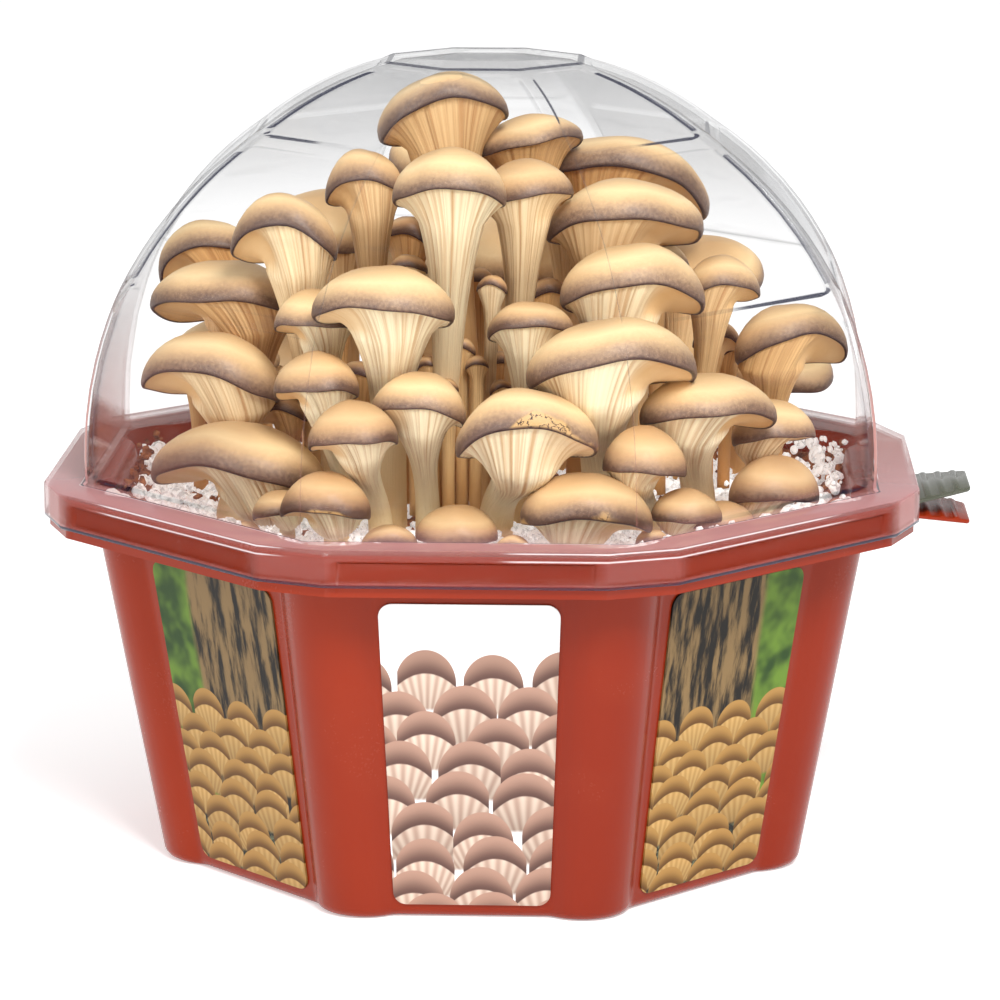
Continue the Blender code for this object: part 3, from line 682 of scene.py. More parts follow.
def lid_mesh():
    """Rings from the middle of the ceiling down the inner wall, round the skirt's edge and up outside."""
    profile = lid_profile()
    line = np.array([row[:2] for row in profile])
    along = unit(np.gradient(line, axis=0))
    inward = np.stack([-along[:, 1], along[:, 0]], -1)
    inner_line = (line + inward * (DOME_WALL + PANEL_INSET))[::-2]
    count = len(CORNERS) * RIB_COLUMNS
    rings, slopes, veils, haze_and_tub_light_rows, glints = [], [], [], [], []

    def add(ring, slope=0.0, veil=0.0, haze=0.0, glint=0.0):
        rings.append(ring)
        slopes.append(np.broadcast_to(slope, count))
        veils.append(veil * np.where(ring[:, 1] > 0, BACK_VEIL, 1.0))
        haze_and_tub_light_rows.append(np.broadcast_to(haze, count))
        glints.append(np.broadcast_to(glint, count))

    def add_inner(reach, height):
        ways, _ = dome_ways(reach)
        add(ring_at(ways, straight_reach(ways, CORNERS, reach), height))

    rim_offsets = np.degrees(np.arcsin(np.array(lid_across(DOME_FOOT[0])) / DOME_FOOT[0]))
    rim_offsets = rim_offsets * CHAMFER_HALF_ANGLE / rim_offsets[-2]
    rim_offsets = np.concatenate([-rim_offsets[:0:-1], rim_offsets])
    rim_ways = np.add.outer(CORNERS, rim_offsets).ravel()

    ceiling = DOME_TOP[1] + DOME_TOP_RISE - DOME_WALL
    add_inner(DOME_TOP[0] - 4.0, ceiling)
    for reach, height in inner_line:
        add_inner(reach, min(height, ceiling))
    add_inner(DOME_FOOT[0] - DOME_WALL - PANEL_INSET, UNDER_FLANGE)
    for inset, height, slope, veil, glint in RIM_ROWS:
        reach = rim_reach(rim_ways, LID_HALF_WIDTH - inset)
        add(ring_at(rim_ways, reach, height), slope, veil, glint=glint)
    for beyond, slope, glint in FLANGE_ROWS:
        foot, _ = dome_ring(DOME_FOOT[0] + beyond, LID_FLANGE_TOP, 0.0, PAST_ANY_BAND)
        add(foot, slope, 1.0, glint=glint)
    for row in profile:
        ring, slope = dome_ring(*row)
        veil = FOOT_VEIL * float(smooth_step((FOOT_VEIL_TOP - row[1]) / FOOT_VEIL_FADE))
        add(ring, slope, veil, edge_share(ring))
    for inwards, slope in ((1.5, 0.8), (3.5, 0.0)):
        ring, _ = dome_ring(DOME_TOP[0] - inwards, DOME_TOP[1] + DOME_TOP_RISE, 0.0, PAST_ANY_BAND)
        add(ring, slope, haze=1.0)
    points, faces = lofted(rings)
    layers = {"slope": slopes, "veil": veils, "haze": haze_and_tub_light_rows, "glint": glints}
    for name, rows in layers.items():
        layers[name] = np.append(np.concatenate(rows), (0.0, 0.0))
    return points, faces, layers


lid_points, lid_faces, lid_layers = lid_mesh()
lid = piece("lid_shell", lid_points, lid_faces, CLEAR, "clear_plastic", ["lid"], lid_layers, sharp=None)
tab_points, tab_faces = tab_mesh(LID_HALF_WIDTH - 0.2, 83.2, 85.4)
piece("lid_finger_tab", tab_points, tab_faces, CLEAR_TAB, "clear_plastic", sharp=50.0,
      layers={"veil": np.ones(len(tab_points))})
print("lid:", len(lid.data.polygons), "faces")

# %% [markdown]
# ## Growing bed
#
# The bed is horticultural perlite, puffed white beads of 2 to 5 mm, over shredded coir. Each bead is a
# small icosphere with its own lumps, thrown at random but kept apart, so that they read as loose grains
# with dark gaps. Coir is a scatter of short flat flakes.


# %% Perlite and coir finishes
def perlite_finish():
    made = Finish("perlite")
    # painted shade: the beads turn grey where the bump lies deepest, in their pits
    pits_and_painted_shade = made.noise(700.0, 3.0, 0.6)
    # the beads glow a little: painted light that keeps them white where the cluster and the wall shade
    # them
    made.set(Base_Color=made.mix(pits_and_painted_shade.rise(0.36, 0.54), (0.36, 0.345, 0.325), (0.97, 0.965, 0.95)),
             Roughness=0.9, Normal=made.bump(pits_and_painted_shade, 0.50),
             Emission_Color=(1.0, 0.99, 0.97), Emission_Strength=0.36)
    return made


def coir_finish():
    made = Finish("coir")
    tone = made.noise(420.0, 3.0)
    colour = made.ramp(tone, (0.30, (0.040, 0.013, 0.005)), (0.50, (0.26, 0.085, 0.024)),
                       (0.70, (0.52, 0.22, 0.075)))
    made.set(Base_Color=colour, Roughness=0.85,
             Normal=made.bump(made.noise(2200.0, 2.0, 0.6, (1.0, 1.0, 0.3)), 0.25))
    return made


PERLITE = perlite_finish()
COIR = coir_finish()

# %% Bed
SOIL_TOP, SOIL_BANK = 81.0, 86.0
SOIL_FLAT_SHARE, SOIL_CHAMFER_SHARE = 0.90, 0.965
UNDER_GRAINS = 2.4
WALL_GAP = 1.9
BED_LUMP = 0.6
GRAIN_FIELD = 95
dice = np.random.default_rng(11)


def soil_height(share):
    """Height of the bed at this share of the way from the axis to the tub's wall."""
    return SOIL_TOP + (SOIL_BANK - SOIL_TOP) * smooth_step(
        (share - SOIL_FLAT_SHARE) / (SOIL_CHAMFER_SHARE - SOIL_FLAT_SHARE))


def bed_mesh():
    """The coir under the grains, lumpy on top."""
    wall = [(1.9, 4.5), (4.5, 2.2), (60.0, 1.72), (SOIL_BANK - UNDER_GRAINS - 1.0, WALL_GAP)]
    rings = [ring_at(TUB_WAYS, body_reach(TUB_WAYS, crown_at(h) - gap), h) for h, gap in wall]
    edge = body_reach(TUB_WAYS, crown_at(SOIL_BANK) - WALL_GAP)
    for share in (0.985, 0.965, 0.945, 0.925, 0.90, 0.8, 0.6, 0.4, 0.2):
        ring = ring_at(TUB_WAYS, edge * share, soil_height(share) - UNDER_GRAINS)
        ring[:, 2] += BED_LUMP * np.sin(0.31 * ring[:, 0] + 9 * share) * np.cos(0.27 * ring[:, 1])
        rings.append(ring)
    return lofted(rings)


piece("growing_bed", *bed_mesh(), COIR, "perlite_and_coir", ["growing_block"], sharp=None)


# %% Grain helpers
def template_ball(steps):
    """Points and triangles of a unit icosphere."""
    ball = bpy.data.meshes.new("ball")
    builder = bmesh.new()
    bmesh.ops.create_icosphere(builder, subdivisions=steps, radius=1.0)
    builder.to_mesh(ball)
    builder.free()
    points = np.array([v.co for v in ball.vertices])
    faces = np.array([p.vertices for p in ball.polygons])
    bpy.data.meshes.remove(ball)
    return points, faces


def random_turns(count):
    """Random rotation matrices."""
    q = dice.normal(size=(count, 4))
    q /= np.linalg.norm(q, axis=1)[:, None]
    w, x, y, z = q.T
    rows = [1 - 2 * (y * y + z * z), 2 * (x * y - z * w), 2 * (x * z + y * w),
            2 * (x * y + z * w), 1 - 2 * (x * x + z * z), 2 * (y * z - x * w),
            2 * (x * z - y * w), 2 * (y * z + x * w), 1 - 2 * (x * x + y * y)]
    return np.stack(rows, -1).reshape(-1, 3, 3)


ALL_WAYS = np.linspace(0, 360, 721)
WALL_TABLE = body_reach(ALL_WAYS, crown_at(SOIL_BANK) - WALL_GAP)


def scattered(least, most, tries, spacing, wanted):
    """Rows of (x, y, size, share): grains that keep their distance and lie where wanted(share, way)."""
    kept = np.empty((0, 4))
    for _ in range(tries):
        size = dice.uniform(least, most)
        x, y = dice.uniform(-GRAIN_FIELD, GRAIN_FIELD, 2)
        way = math.degrees(math.atan2(x, -y))
        wall = float(np.interp(way % 360, ALL_WAYS, WALL_TABLE))
        share = math.hypot(x, y) / wall
        if share * wall > wall - size * 0.8 or dice.random() > wanted(share, way):
            continue
        if not (np.hypot(kept[:, 0] - x, kept[:, 1] - y) < (kept[:, 2] + size) * spacing).any():
            kept = np.vstack([kept, (x, y, size, share)])
    return kept


def grains(places, ball, heights, flat, rough):
    """One mesh of a lumpy grain at each place."""
    points, faces = ball
    count = len(places)
    turns = random_turns(count)
    lumps = 1 + rough * np.sin(points @ dice.normal(size=(3, count)) * 2.2 + dice.uniform(0, 6, count))
    stretch = dice.uniform(1 - flat, 1.0, (count, 3))
    shaped = points[None] * lumps.T[:, :, None] * stretch[:, None, :] * places[:, 2, None, None]
    turned = np.einsum("nij,npj->npi", turns, shaped)
    centres = np.stack([places[:, 0], places[:, 1], heights], -1)
    everything = (turned + centres[:, None]).reshape(-1, 3)
    shift = (np.arange(count) * len(points))[:, None, None]
    return everything, (faces[None] + shift).reshape(-1, 3).tolist()


# %% Beads and flakes
# Coir shows in a ring along the wall, away from the front.
COIR_RING = 0.955
COIR_FROM_WAY = 72.0
THIN_MIDDLE = 0.45


def in_coir_ring(share, way):
    return share > COIR_RING and abs(way) > COIR_FROM_WAY


def perlite_wanted(share, way):
    """Share of the tries to keep: few in the middle, where stems hide the bed, and in the coir ring."""
    if share < THIN_MIDDLE:
        return 0.35
    if in_coir_ring(share, way):
        return 0.15 if way < 0 else 0.75
    return 1.0


def coir_wanted(share, way):
    """Share of the tries to keep: nearly all in the coir ring on the left, and a few anywhere."""
    if in_coir_ring(share, way):
        return 1.0 if way < 0 else 0.35
    return 0.04


def lying(places, low, high):
    """Heights that sink each grain by a random share of its size."""
    return soil_height(places[:, 3]) + places[:, 2] * dice.uniform(low, high, len(places))


# Name, scatter (least and most size, tries, spacing, where wanted), steps of the icosphere, heights as
# shares of the size, flatness and roughness, finish and sharp angle.
GRAINS = [
    ("perlite_beads", (1.3, 2.7, 8000, 0.66, perlite_wanted), 2, (-0.7, 0.25), (0.30, 0.19),
     PERLITE, None),
    ("perlite_crumbs", (0.5, 1.1, 3500, 0.7, perlite_wanted), 1, (0.6, 1.9), (0.4, 0.2),
     PERLITE, None),
    ("coir_flakes", (0.7, 1.7, 7000, 0.5, coir_wanted), 1, (0.3, 1.3), (0.7, 0.25),
     COIR, 30.0),
]
for name, scatter, steps, heights, form, finish, sharp in GRAINS:
    places = scattered(*scatter)
    points, faces = grains(places, template_ball(steps), lying(places, *heights), *form)
    piece(name, points, faces, finish, "perlite_and_coir", sharp=sharp)
    print(f"{name}: {len(places)}")

# %% [markdown]
# ## Mushroom flesh
#
# A cap is smooth and a little waxy: cream to tan where it is full, mauve-brown in a soft speckled band
# along its margin. The cream across the middle of its face is a painted highlight, and the tan towards
# its top is painted shade. At the very edge, under the rolled lip, runs a thin dark line of painted
# shade. Underneath, pale gills run from the margin down the stem, with painted shade in ochre along their
# grooves and in a smooth ochre under an outer end. Painting by position alone would slide over fifty
# different shapes, so each mesh keeps numbers on its points: `cap` is 1 on the skin, `face` the height on
# it, `aside` how far out to the side, `edge` the thin painted dark line, `groove` the valleys between
# gills, `lobe` the smooth part under an outer end, `down` the way from the cap to the foot, and
# `around_x` and `around_y` the direction round the stem. `dark`, `warm` and `dry` are the same all over
# one mushroom: the brown of its skin, a painted warm orange shade on a stem deep in the cluster, and a
# cracked dry skin.


# %% Mushroom flesh
# Where stems take on painted shade, browner from the front of the cluster inwards, as y in metres, and
# how many cells of the streak noise fit across a stem.
SHADE_FROM, SHADE_TO = -0.052, -0.012
ROUND_STEM = 15.0


def mushroom_flesh():
    made = Finish("mushroom_flesh")
    cap, face, edge, dark = (made.layer(n) for n in ("cap", "face", "edge", "dark"))
    groove, down, lobe, warm = (made.layer(n) for n in ("groove", "down", "lobe", "warm"))
    cloud = made.noise(70.0, 4.0)
    fleck = made.noise(1100.0, 3.0, 0.7)

    # the ramp over the face paints a cream highlight across the middle of the cap and painted shade, tan
    # to brown, at its top; the mauve-brown band lies along the margin, a little darker out to the sides
    spot = face - made.layer("aside") ** 3 * 0.07 - dark * 0.08 + 0.015
    spot = spot + (cloud - 0.5) * 0.24 + (fleck - 0.5) * (1 - face) * 0.26
    skin_and_painted_light = made.ramp(spot, (0.00, (0.130, 0.076, 0.054)), (0.09, (0.26, 0.162, 0.102)),
                     (0.20, (0.45, 0.295, 0.170)), (0.34, (0.67, 0.450, 0.240)),
                     (0.54, (0.85, 0.63, 0.345)), (0.76, (0.72, 0.49, 0.250)),
                     (1.00, (0.55, 0.35, 0.170)))
    skin_and_painted_light = made.mix(dark, skin_and_painted_light, (0.70, 0.60, 0.54), "MULTIPLY")
    crust = made.layer("dry") * (1 - face + (made.noise(55.0, 3.0) - 0.5) * 1.6).rise(0.98, 1.06)
    crack = crust * (made.noise(300.0, 4.0, 0.6) - 0.5).size().rise(0.022, 0.008)
    skin_and_painted_light = made.mix(crust * 0.8, skin_and_painted_light, (0.62, 0.38, 0.15))
    skin_and_painted_light = made.mix(crack, skin_and_painted_light, (0.045, 0.020, 0.012))

    place = made.node("ShaderNodeCombineXYZ", {}, {0: made.layer("around_x") * ROUND_STEM,
                                                   1: made.layer("around_y") * ROUND_STEM,
                                                   2: down * 2.2 + dark * 9.0})
    streak = made.node("ShaderNodeTexNoise", {}, {"Vector": place, "Scale": 1.0, "Detail": 3.0,
                                                  "Roughness": 0.6})
    # painted warm shade: gills, stems and foot of a mushroom deep in the cluster turn orange
    cream = made.mix(warm * 0.75, (0.90, 0.79, 0.54), (0.78, 0.50, 0.20))
    gill_shade_colour = made.mix(warm * 0.75, (0.54, 0.31, 0.14), (0.40, 0.18, 0.055))
    # painted shade: ochre lines in the gill grooves and along noise streaks, fading out down the stem
    gill_shade_lines = (streak.rise(0.44, 0.64) * 0.46 + groove * 0.54).at_most(1.0) * (1 - down.rise(0.22, 0.80))
    gills = made.mix(gill_shade_lines, cream, gill_shade_colour)
    foot = made.mix(cloud.rise(0.3, 0.8), (0.76, 0.50, 0.22), (0.85, 0.68, 0.40))
    foot = made.mix(warm * 0.8, foot, (0.60, 0.31, 0.10))
    gills = made.mix(down.rise(0.30, 1.0), gills, foot)
    # painted shade: stems turn browner from the front of the cluster inwards
    depth = made.node("ShaderNodeSeparateXYZ", {}, {0: made.place()}, "Y")
    inwards = depth.rise(SHADE_FROM, SHADE_TO)
    gills = made.mix(inwards * 0.65, gills, (0.86, 0.62, 0.38), "MULTIPLY")
    # painted shade: under an outer end the gills turn a smooth ochre
    smooth = made.mix(cloud.rise(0.3, 0.7), (0.66, 0.40, 0.17), (0.74, 0.50, 0.25))
    gills = made.mix(lobe, gills, smooth)
    # the thin dark edge under the rolled lip is painted shade
    colour = made.mix(edge, made.mix(cap, gills, skin_and_painted_light), (0.050, 0.026, 0.026))
    height = made.noise(260.0, 4.0) * 0.5 + fleck * 0.15 + (1 - cap) * (1 - lobe) * streak * 0.9
    made.set(Base_Color=colour, Roughness=cap * -0.12 + cloud * 0.12 + 0.50,
             Normal=made.bump(height, 0.30), Specular_IOR_Level=0.28)
    return made


FLESH = mushroom_flesh()

# %% [markdown]
# ## The cluster
#
# Each row is one mushroom, as in the CAD source: the middle of its cap's margin, half width, rise, foot,
# roll, the way its gills face and how far it leans back to show them.

# %% Mushroom table
MUSHROOMS = [
    ((-9.5, -15, 172.5), 15.5, 8, (-3.5, -6), 14, -2, 24),
    ((10, -4.5, 165.5), 13, 5, (7, 3), 12, 3, 24),
    ((-26.5, -22, 156), 9.4, 9, (-25.5, -10), 8, -9, 24),
    ((-6, -44.5, 159), 13, 9.5, (-8.5, -28), 0, -2, 24),
    ((10.5, -32, 157), 10.8, 7.5, (6.5, -16), 10, 5, 24),
    ((32.5, 10, 154), 20.5, 8.5, (29.5, 12), -14, 11, 24),
    ((32.5, -20, 149), 18.5, 8.5, (23.5, -10), -2, 11, 24),
    ((40.5, -6.5, 137), 7, 5, (40.5, 1.5), 0, 15, 24),
    ((34.5, -39.5, 136), 16.5, 10, (32, -21.5), -3, 12, 24),
    ((55, -19, 133.5), 9, 7.5, (48.5, -11), -5, 20, 24),
    ((71, -8.5, 118), 13.7, 9.5, (66, 0), -3, 25, 24),
    ((30, -58, 123), 19.5, 9, (28.5, -34), 2, 11, 24),
    ((12, -47, 129), 10, 5.5, (10, -29.5), 0, 4, 24),
    ((51.5, -48, 111), 16, 7.5, (50, -30), -2, 18, 22),
    ((66.5, -32, 103), 10.1, 7, (67, -17.5), 0, 24, 20),
    ((11.9, -69.8, 108.5), 16, 10, (4, -43), 0, 5, 22),
    ((-12, -63, 113.5), 10.7, 8, (-11, -45), -4, -4, 24),
    ((-26, -70.5, 109), 10.1, 7.5, (-21.5, -47.5), 6, -9, 20),
    ((-35, -57.5, 117.5), 9.8, 7.5, (-29.5, -37.5), 4, -12, 24),
    ((-20, -57.5, 135.7), 16.1, 8, (-20.5, -38.5), 0, -7, 24),
    ((-36.5, -43, 129.5), 9.4, 7, (-34, -27), 2, -13, 24),
    ((-44, -32, 145), 12.7, 10.5, (-37.5, -17.5), 4, -15, 24),
    ((-66, 8, 135), 12.5, 8.5, (-62.5, 13), 24, -24, 24),
    ((-59.5, -12.7, 129.3), 18, 8, (-56, 0.8), 4, -21, 24),
    ((-70, -3.5, 114), 7, 4.5, (-67.5, 3), 8, -24, 24),
    ((-61, -29.1, 113.5), 17, 10, (-57.5, -10.7), 0, -21, 22),
    ((-53.7, -43.4, 95.9), 20.5, 9.5, (-55.5, -28.5), 0, -20, 16),
    ((-32, -70.5, 93), 10.4, 7.5, (-31, -54), 0, -11, 10),
    ((-43.1, -60.2, 89.9), 6.6, 4.4, (-42.5, -49), 10, -15, 5),
    ((-3.5, -66.5, 87.5), 9.4, 5, (-3, -52), 0, -1, 6),
    ((25, -68.5, 92), 15, 8, (21, -53), -4, 9, 10),
    ((37.7, -62.8, 101.9), 9.6, 8, (39, -41), -6, 13, 14),
    ((47, -59, 90), 8.2, 5.2, (47.5, -48), -4, 16, 6),
    ((66.7, -40, 90.6), 10.7, 8, (66, -26.5), -4, 23, 8),
    ((55, -48.8, 86.6), 7.4, 3.6, (55.5, -43), 0, 20, 4),
    ((-40, 30, 140), 14, 7.5, (-34, 22), 0, 200, 24),
    ((-10, 24, 158), 14, 7.5, (-8.5, 17), 5, 185, 24),
    ((22, 38, 146), 14, 7.5, (19, 28), -4, 169, 24),
    ((52, 28, 130), 14, 7.5, (43, 20), 0, 156, 24),
    ((-64, 32, 108), 14, 7.5, (-55, 27), 3, 211, 18),
    ((-30, 55, 124), 16, 8.5, (-25, 40), -3, 194, 24),
    ((6, 60, 129), 16, 8.5, (5, 44), 3, 177, 24),
    ((40, 57, 113), 15, 8, (33, 42), 0, 161, 22),
    ((70, 31, 106), 13, 7, (59, 23), 4, 147, 18),
    ((-50.5, 53.5, 102), 14, 7.5, (-43, 40), 0, 204, 18),
    ((-12, 70, 104), 16, 8.5, (-10, 51), -4, 186, 20),
    ((24, 72, 98), 14, 7, (20, 54), 3, 169, 14),
    ((3, -36, 136), 3.6, 3, (1, -22), -6, 0, 15),
    ((-16, -33, 140), 4.6, 3, (-15, -24), 0, -5, 15),
]
# How much of its width the front face of each cap measures, counted from the first row, and the share
# of brown in the caps that aren't pale.
FACES = [0.18, 0.40, 0.34, 0.36, 0.50, 0.16, 0.24, 0.40, 0.26, 0.38, 0.22, 0.23, 0.26, 0.28, 0.42, 0.22,
         0.36, 0.50, 0.48, 0.30, 0.45, 0.22, 0.25, 0.26, 0.35, 0.25, 0.23, 0.40, 0.40, 0.60, 0.32, 0.60,
         0.45, 0.45, 0.45]
COMMON_FACE = 0.26
DARK_CAPS = {3: 0.35, 5: 0.55, 8: 0.6, 10: 0.3, 13: 0.55, 18: 0.75, 19: 0.6, 25: 0.6, 28: 0.85, 29: 0.6,
             30: 0.7, 31: 0.5, 32: 0.7, 33: 0.6, 34: 0.5, 35: 0.6, 48: 1.0, 49: 1.0}
DRY_CAPS = (16, 28, 31)
CAP_DEPTH, CAP_DROOP = 0.8, 0.16
STEM_LEAST_RADIUS, STEM_TOP_BELOW, STEM_TOP_BEHIND, STEM_TOP_ASIDE = 1.5, 0.10, 0.12, 0.8
STEM_WIDTHS = ((1.0, 0.28), (0.62, 0.25), (0.30, 0.34), (0.08, 0.56))
GAP = 0.3

# %% [markdown]
# ## Building one mushroom
#
# Sculpting fifty mushrooms by hand would take days. They share one recipe instead: rings up a curved
# stem, a flare where the gills spread, a rolled margin and a rounded cap. Each draws its own waves from
# a numbered random source, so that no two are alike and every run gives the same cluster.


# %% Axes and stem
def cap_axes(roll, facing, lean_back):
    """Across, forward and up of a cap."""
    turn = math.radians(facing)
    forward = np.array([math.sin(turn), -math.cos(turn), 0.0])
    upward = np.array([0.0, 0.0, 1.0])
    across = np.cross(upward, forward)
    lean = math.radians(lean_back)
    tilted_up = upward * math.cos(lean) - forward * math.sin(lean)
    tilted_forward = forward * math.cos(lean) + upward * math.sin(lean)
    turn = math.radians(roll)
    return (across * math.cos(turn) + tilted_up * math.sin(turn), tilted_forward,
            tilted_up * math.cos(turn) - across * math.sin(turn))


def stem_line(start, foot, shares):
    """Points and directions along the stem's curve, from the cap (0) to the foot (1)."""
    length = np.linalg.norm(start - foot)
    a, d = start, foot
    b, c = start - np.array([0, 0, length * 0.25]), foot + np.array([0, 0, length * 0.35])
    s = np.asarray(shares)[:, None]
    r = 1 - s
    here = a * r**3 + b * 3 * s * r**2 + c * 3 * s**2 * r + d * s**3
    return here, unit((b - a) * r**2 + (c - b) * 2 * s * r + (d - c) * s**2)


# %% Shape of one mushroom
STEM_SHARES = (1.0, 0.93, 0.85, 0.76, 0.67, 0.58, 0.5, 0.42, 0.35, 0.28, 0.22, 0.16, 0.12, 0.08)
GILL_SHARES = (0.12, 0.25, 0.4, 0.55, 0.7, 0.85, 1.0)
LIP = ((0.945, -0.082, 1.0, 0.0), (0.97, -0.072, 0.9, 0.0), (0.988, -0.045, 0.0, 0.01),
       (1.0, -0.005, 0.0, 0.05), (1.0, 0.05, 0.0, 0.10))
TOP_ANGLES = (84, 77, 69, 60, 50, 40, 30, 20, 10)
UNDER_SIZE, UNDER_LIFT, CROWN_LIFT = 0.925, -0.068, 0.06
LIFT_LIMITS = (-0.24, 0.34)
# Depth in millimetres of the valleys between gills, down the stem, under the cap and at its margin, for
# a cap of at least the full half width.
STEM_BITE, CAP_BITE, MARGIN_BITE, FULL_SIZE = 0.42, 0.46, 0.20, 12
# A stem takes more painted warm shade, orange, the further back its cap stands, over this way from the
# front row; the rows behind that the camera hardly sees share one amount of it.
FRONT_ROW, WARM_SHADE_SPAN, BACK_ROW, BACK_WARM_SHADE = -46, 50, 20, 0.3
stem_curve_fit = np.polyfit([s for s, _ in STEM_WIDTHS], [w for _, w in STEM_WIDTHS], 3)


def front_lift(number, half, rise, lean_back):
    """How far the front margin is raised, over the half width, to show the right part of the face."""
    face = FACES[number - 1] if number <= len(FACES) else COMMON_FACE
    seen = math.radians(lean_back) - ELEVATION
    margin = half * CAP_DEPTH * math.sin(seen)
    crown = CROWN_LIFT * half + math.hypot(rise * math.cos(seen), margin)
    return float(np.clip((crown - margin) / half - 2 * face, *LIFT_LIMITS))


def gill_ways(luck, gills):
    """Directions of the ridges and, between them, of the valleys, at uneven steps."""
    steps = luck.uniform(0.5, 1.5, gills)
    steps *= 2 * math.pi / steps.sum()
    ridges = np.cumsum(steps)
    return np.stack([ridges, ridges + 0.5 * np.roll(steps, -1)], -1).ravel()


# %% Rings of one mushroom
def mushroom(number, row):
    """Points, faces and the numbers kept on the points."""
    centre, half, rise, foot, roll, facing, lean_back = row
    luck = np.random.default_rng(100 + number)
    gills = max(20, int(round(half * 3.3)))
    t = gill_ways(luck, gills)
    count = len(t)
    across, forward, upward = cap_axes(roll, facing, lean_back)
    centre = np.array(centre, float)
    depth = half * CAP_DEPTH
    sideways = math.sin(math.radians((facing + 90) % 180 - 90))

    # the stem joins the cap off its middle; outer is 1 under the end that hangs free
    start = (centre - upward * STEM_TOP_BELOW * half - forward * STEM_TOP_BEHIND * depth
             - across * STEM_TOP_ASIDE * half * sideways)
    outer = smooth_step((math.copysign(1, sideways) * np.cos(t) - 0.05) / 0.5)
    outer = outer * min(1.0, abs(sideways) / 0.2)
    here, way = stem_line(start, np.array([*foot, SOIL_TOP + GAP]), STEM_SHARES)
    side = unit(across - way * (way @ across)[:, None])
    front = np.cross(side, way)
    width = np.maximum(np.polyval(stem_curve_fit, STEM_SHARES) * half, STEM_LEAST_RADIUS)
    waves = luck.uniform(0, 2 * math.pi, 8)
    pinch = 1 - 0.05 * (1 + np.sin(2 * t + waves[0]))[None] * np.array(STEM_SHARES)[:, None]
    radius = width[:, None] * pinch
    rings = [here[i] + side[i] * (radius[i] * np.cos(t))[:, None]
             - front[i] * (radius[i] * np.sin(t))[:, None] for i in range(len(here))]
    cap, face, edge, reach = ([0.0] * len(here) for _ in range(4))
    down = list(STEM_SHARES)

    # no margin is a plain oval: it wanders in, ripples up and down, and is raised or lowered in front
    shrink = 1 - 0.02 * (1 + 0.55 * np.sin(2 * t + waves[1]) + 0.3 * np.sin(3 * t + waves[2])
                         + 0.25 * np.sin(5 * t + waves[3]))
    ripple = 0.022 * np.sin(3 * t + waves[4]) + 0.014 * np.sin(6 * t + waves[5])
    lift_front = front_lift(number, half, rise, lean_back)

    def cap_ring(size, lift):
        x, y = size * shrink * np.cos(t), size * shrink * np.sin(t)
        front_part = lift_front * np.maximum(y, 0) ** 2
        height = (lift - CAP_DROOP * x * x + ripple * size**3 + front_part) * half
        return (centre + across * half * x[:, None] + forward * depth * y[:, None]
                + upward * height[:, None])

    def add(ring, on_cap, on_face, on_edge, way_down, size=1.0):
        rings.append(ring)
        cap.append(on_cap), face.append(on_face), edge.append(on_edge), down.append(way_down)
        reach.append(size)

    # the gills spread from the stem's top to the cap on a curve, which is flat under the free end
    under = cap_ring(UNDER_SIZE, UNDER_LIFT)
    neck = rings[-1]
    ceiling = upward * ((under - neck) @ upward)[:, None]
    trumpet = neck * 0.45 + under * 0.55 + upward * 0.05 * half
    overhang = neck + ceiling + upward * 0.03 * half
    bend = trumpet + (overhang - trumpet) * outer[:, None]
    for w in GILL_SHARES:
        curve = neck * (1 - w) ** 2 + bend * 2 * w * (1 - w) + under * w * w
        add(curve, 0.0, 0.0, 0.0, STEM_SHARES[-1] * (1 - w))
    for size, lift, line, on_face in LIP:
        add(cap_ring(size, lift), 1.0, on_face, line, 0.0)
    for angle in TOP_ANGLES:
        turn = math.radians(angle)
        swell = 0.03 * math.sin(2 * turn) * (np.sin(2 * t + waves[6]) + np.sin(3 * t + waves[7]))
        dome = upward * (rise * math.cos(turn) + swell * rise)[:, None]
        add(cap_ring(math.sin(turn), CROWN_LIFT) + dome, 1.0,
            LIP[-1][-1] + (1 - LIP[-1][-1]) * math.cos(turn), 0.0, 0.0, math.sin(turn))
    rings = np.array(rings)

    # every second point is a valley: pushed inwards, most at the cap, fading out down the stem
    neck_row, under_row = len(STEM_SHARES), len(STEM_SHARES) + len(GILL_SHARES)
    bite = np.zeros(len(rings))
    bite[:neck_row] = [STEM_BITE * float(smooth_step((0.66 - s) / 0.5)) for s in STEM_SHARES]
    bite[neck_row:under_row] = [CAP_BITE] * (len(GILL_SHARES) - 1) + [MARGIN_BITE]
    outward = rings - rings.mean(1, keepdims=True)
    outward[:neck_row] = unit(outward[:neck_row])
    outward[neck_row:] = unit(outward[neck_row:]) * 0.4 - upward * 0.9
    valley = np.zeros(count)
    valley[1::2] = luck.uniform(0.15, 1.0, gills) ** 1.3
    ridge = np.where(np.arange(count) % 2 == 0, 0.5, -valley)
    scale = min(1.0, half / FULL_SIZE)
    rings = rings + outward * (bite[:, None] * (ridge * (1 - outer))[None] * scale)[:, :, None]
    # each valley's depth also sets the painted shade in its groove
    groove = (bite / bite.max())[:, None] * (valley * (1 - outer))[None]
    in_gills = np.zeros(len(rings))
    in_gills[neck_row:under_row] = smooth_step(np.array(GILL_SHARES) / 0.3)

    points, faces = lofted(rings, turn=True)
    points[-1] = centre + upward * (CROWN_LIFT * half + rise)
    # how much painted warm shade the stem takes, more the further back its cap stands
    deep = BACK_WARM_SHADE
    if centre[1] < BACK_ROW:
        deep = float(np.clip((centre[1] - FRONT_ROW) / WARM_SHADE_SPAN, 0, 1))
    pale = float(np.clip(luck.normal(0.10, 0.08), 0, 1))

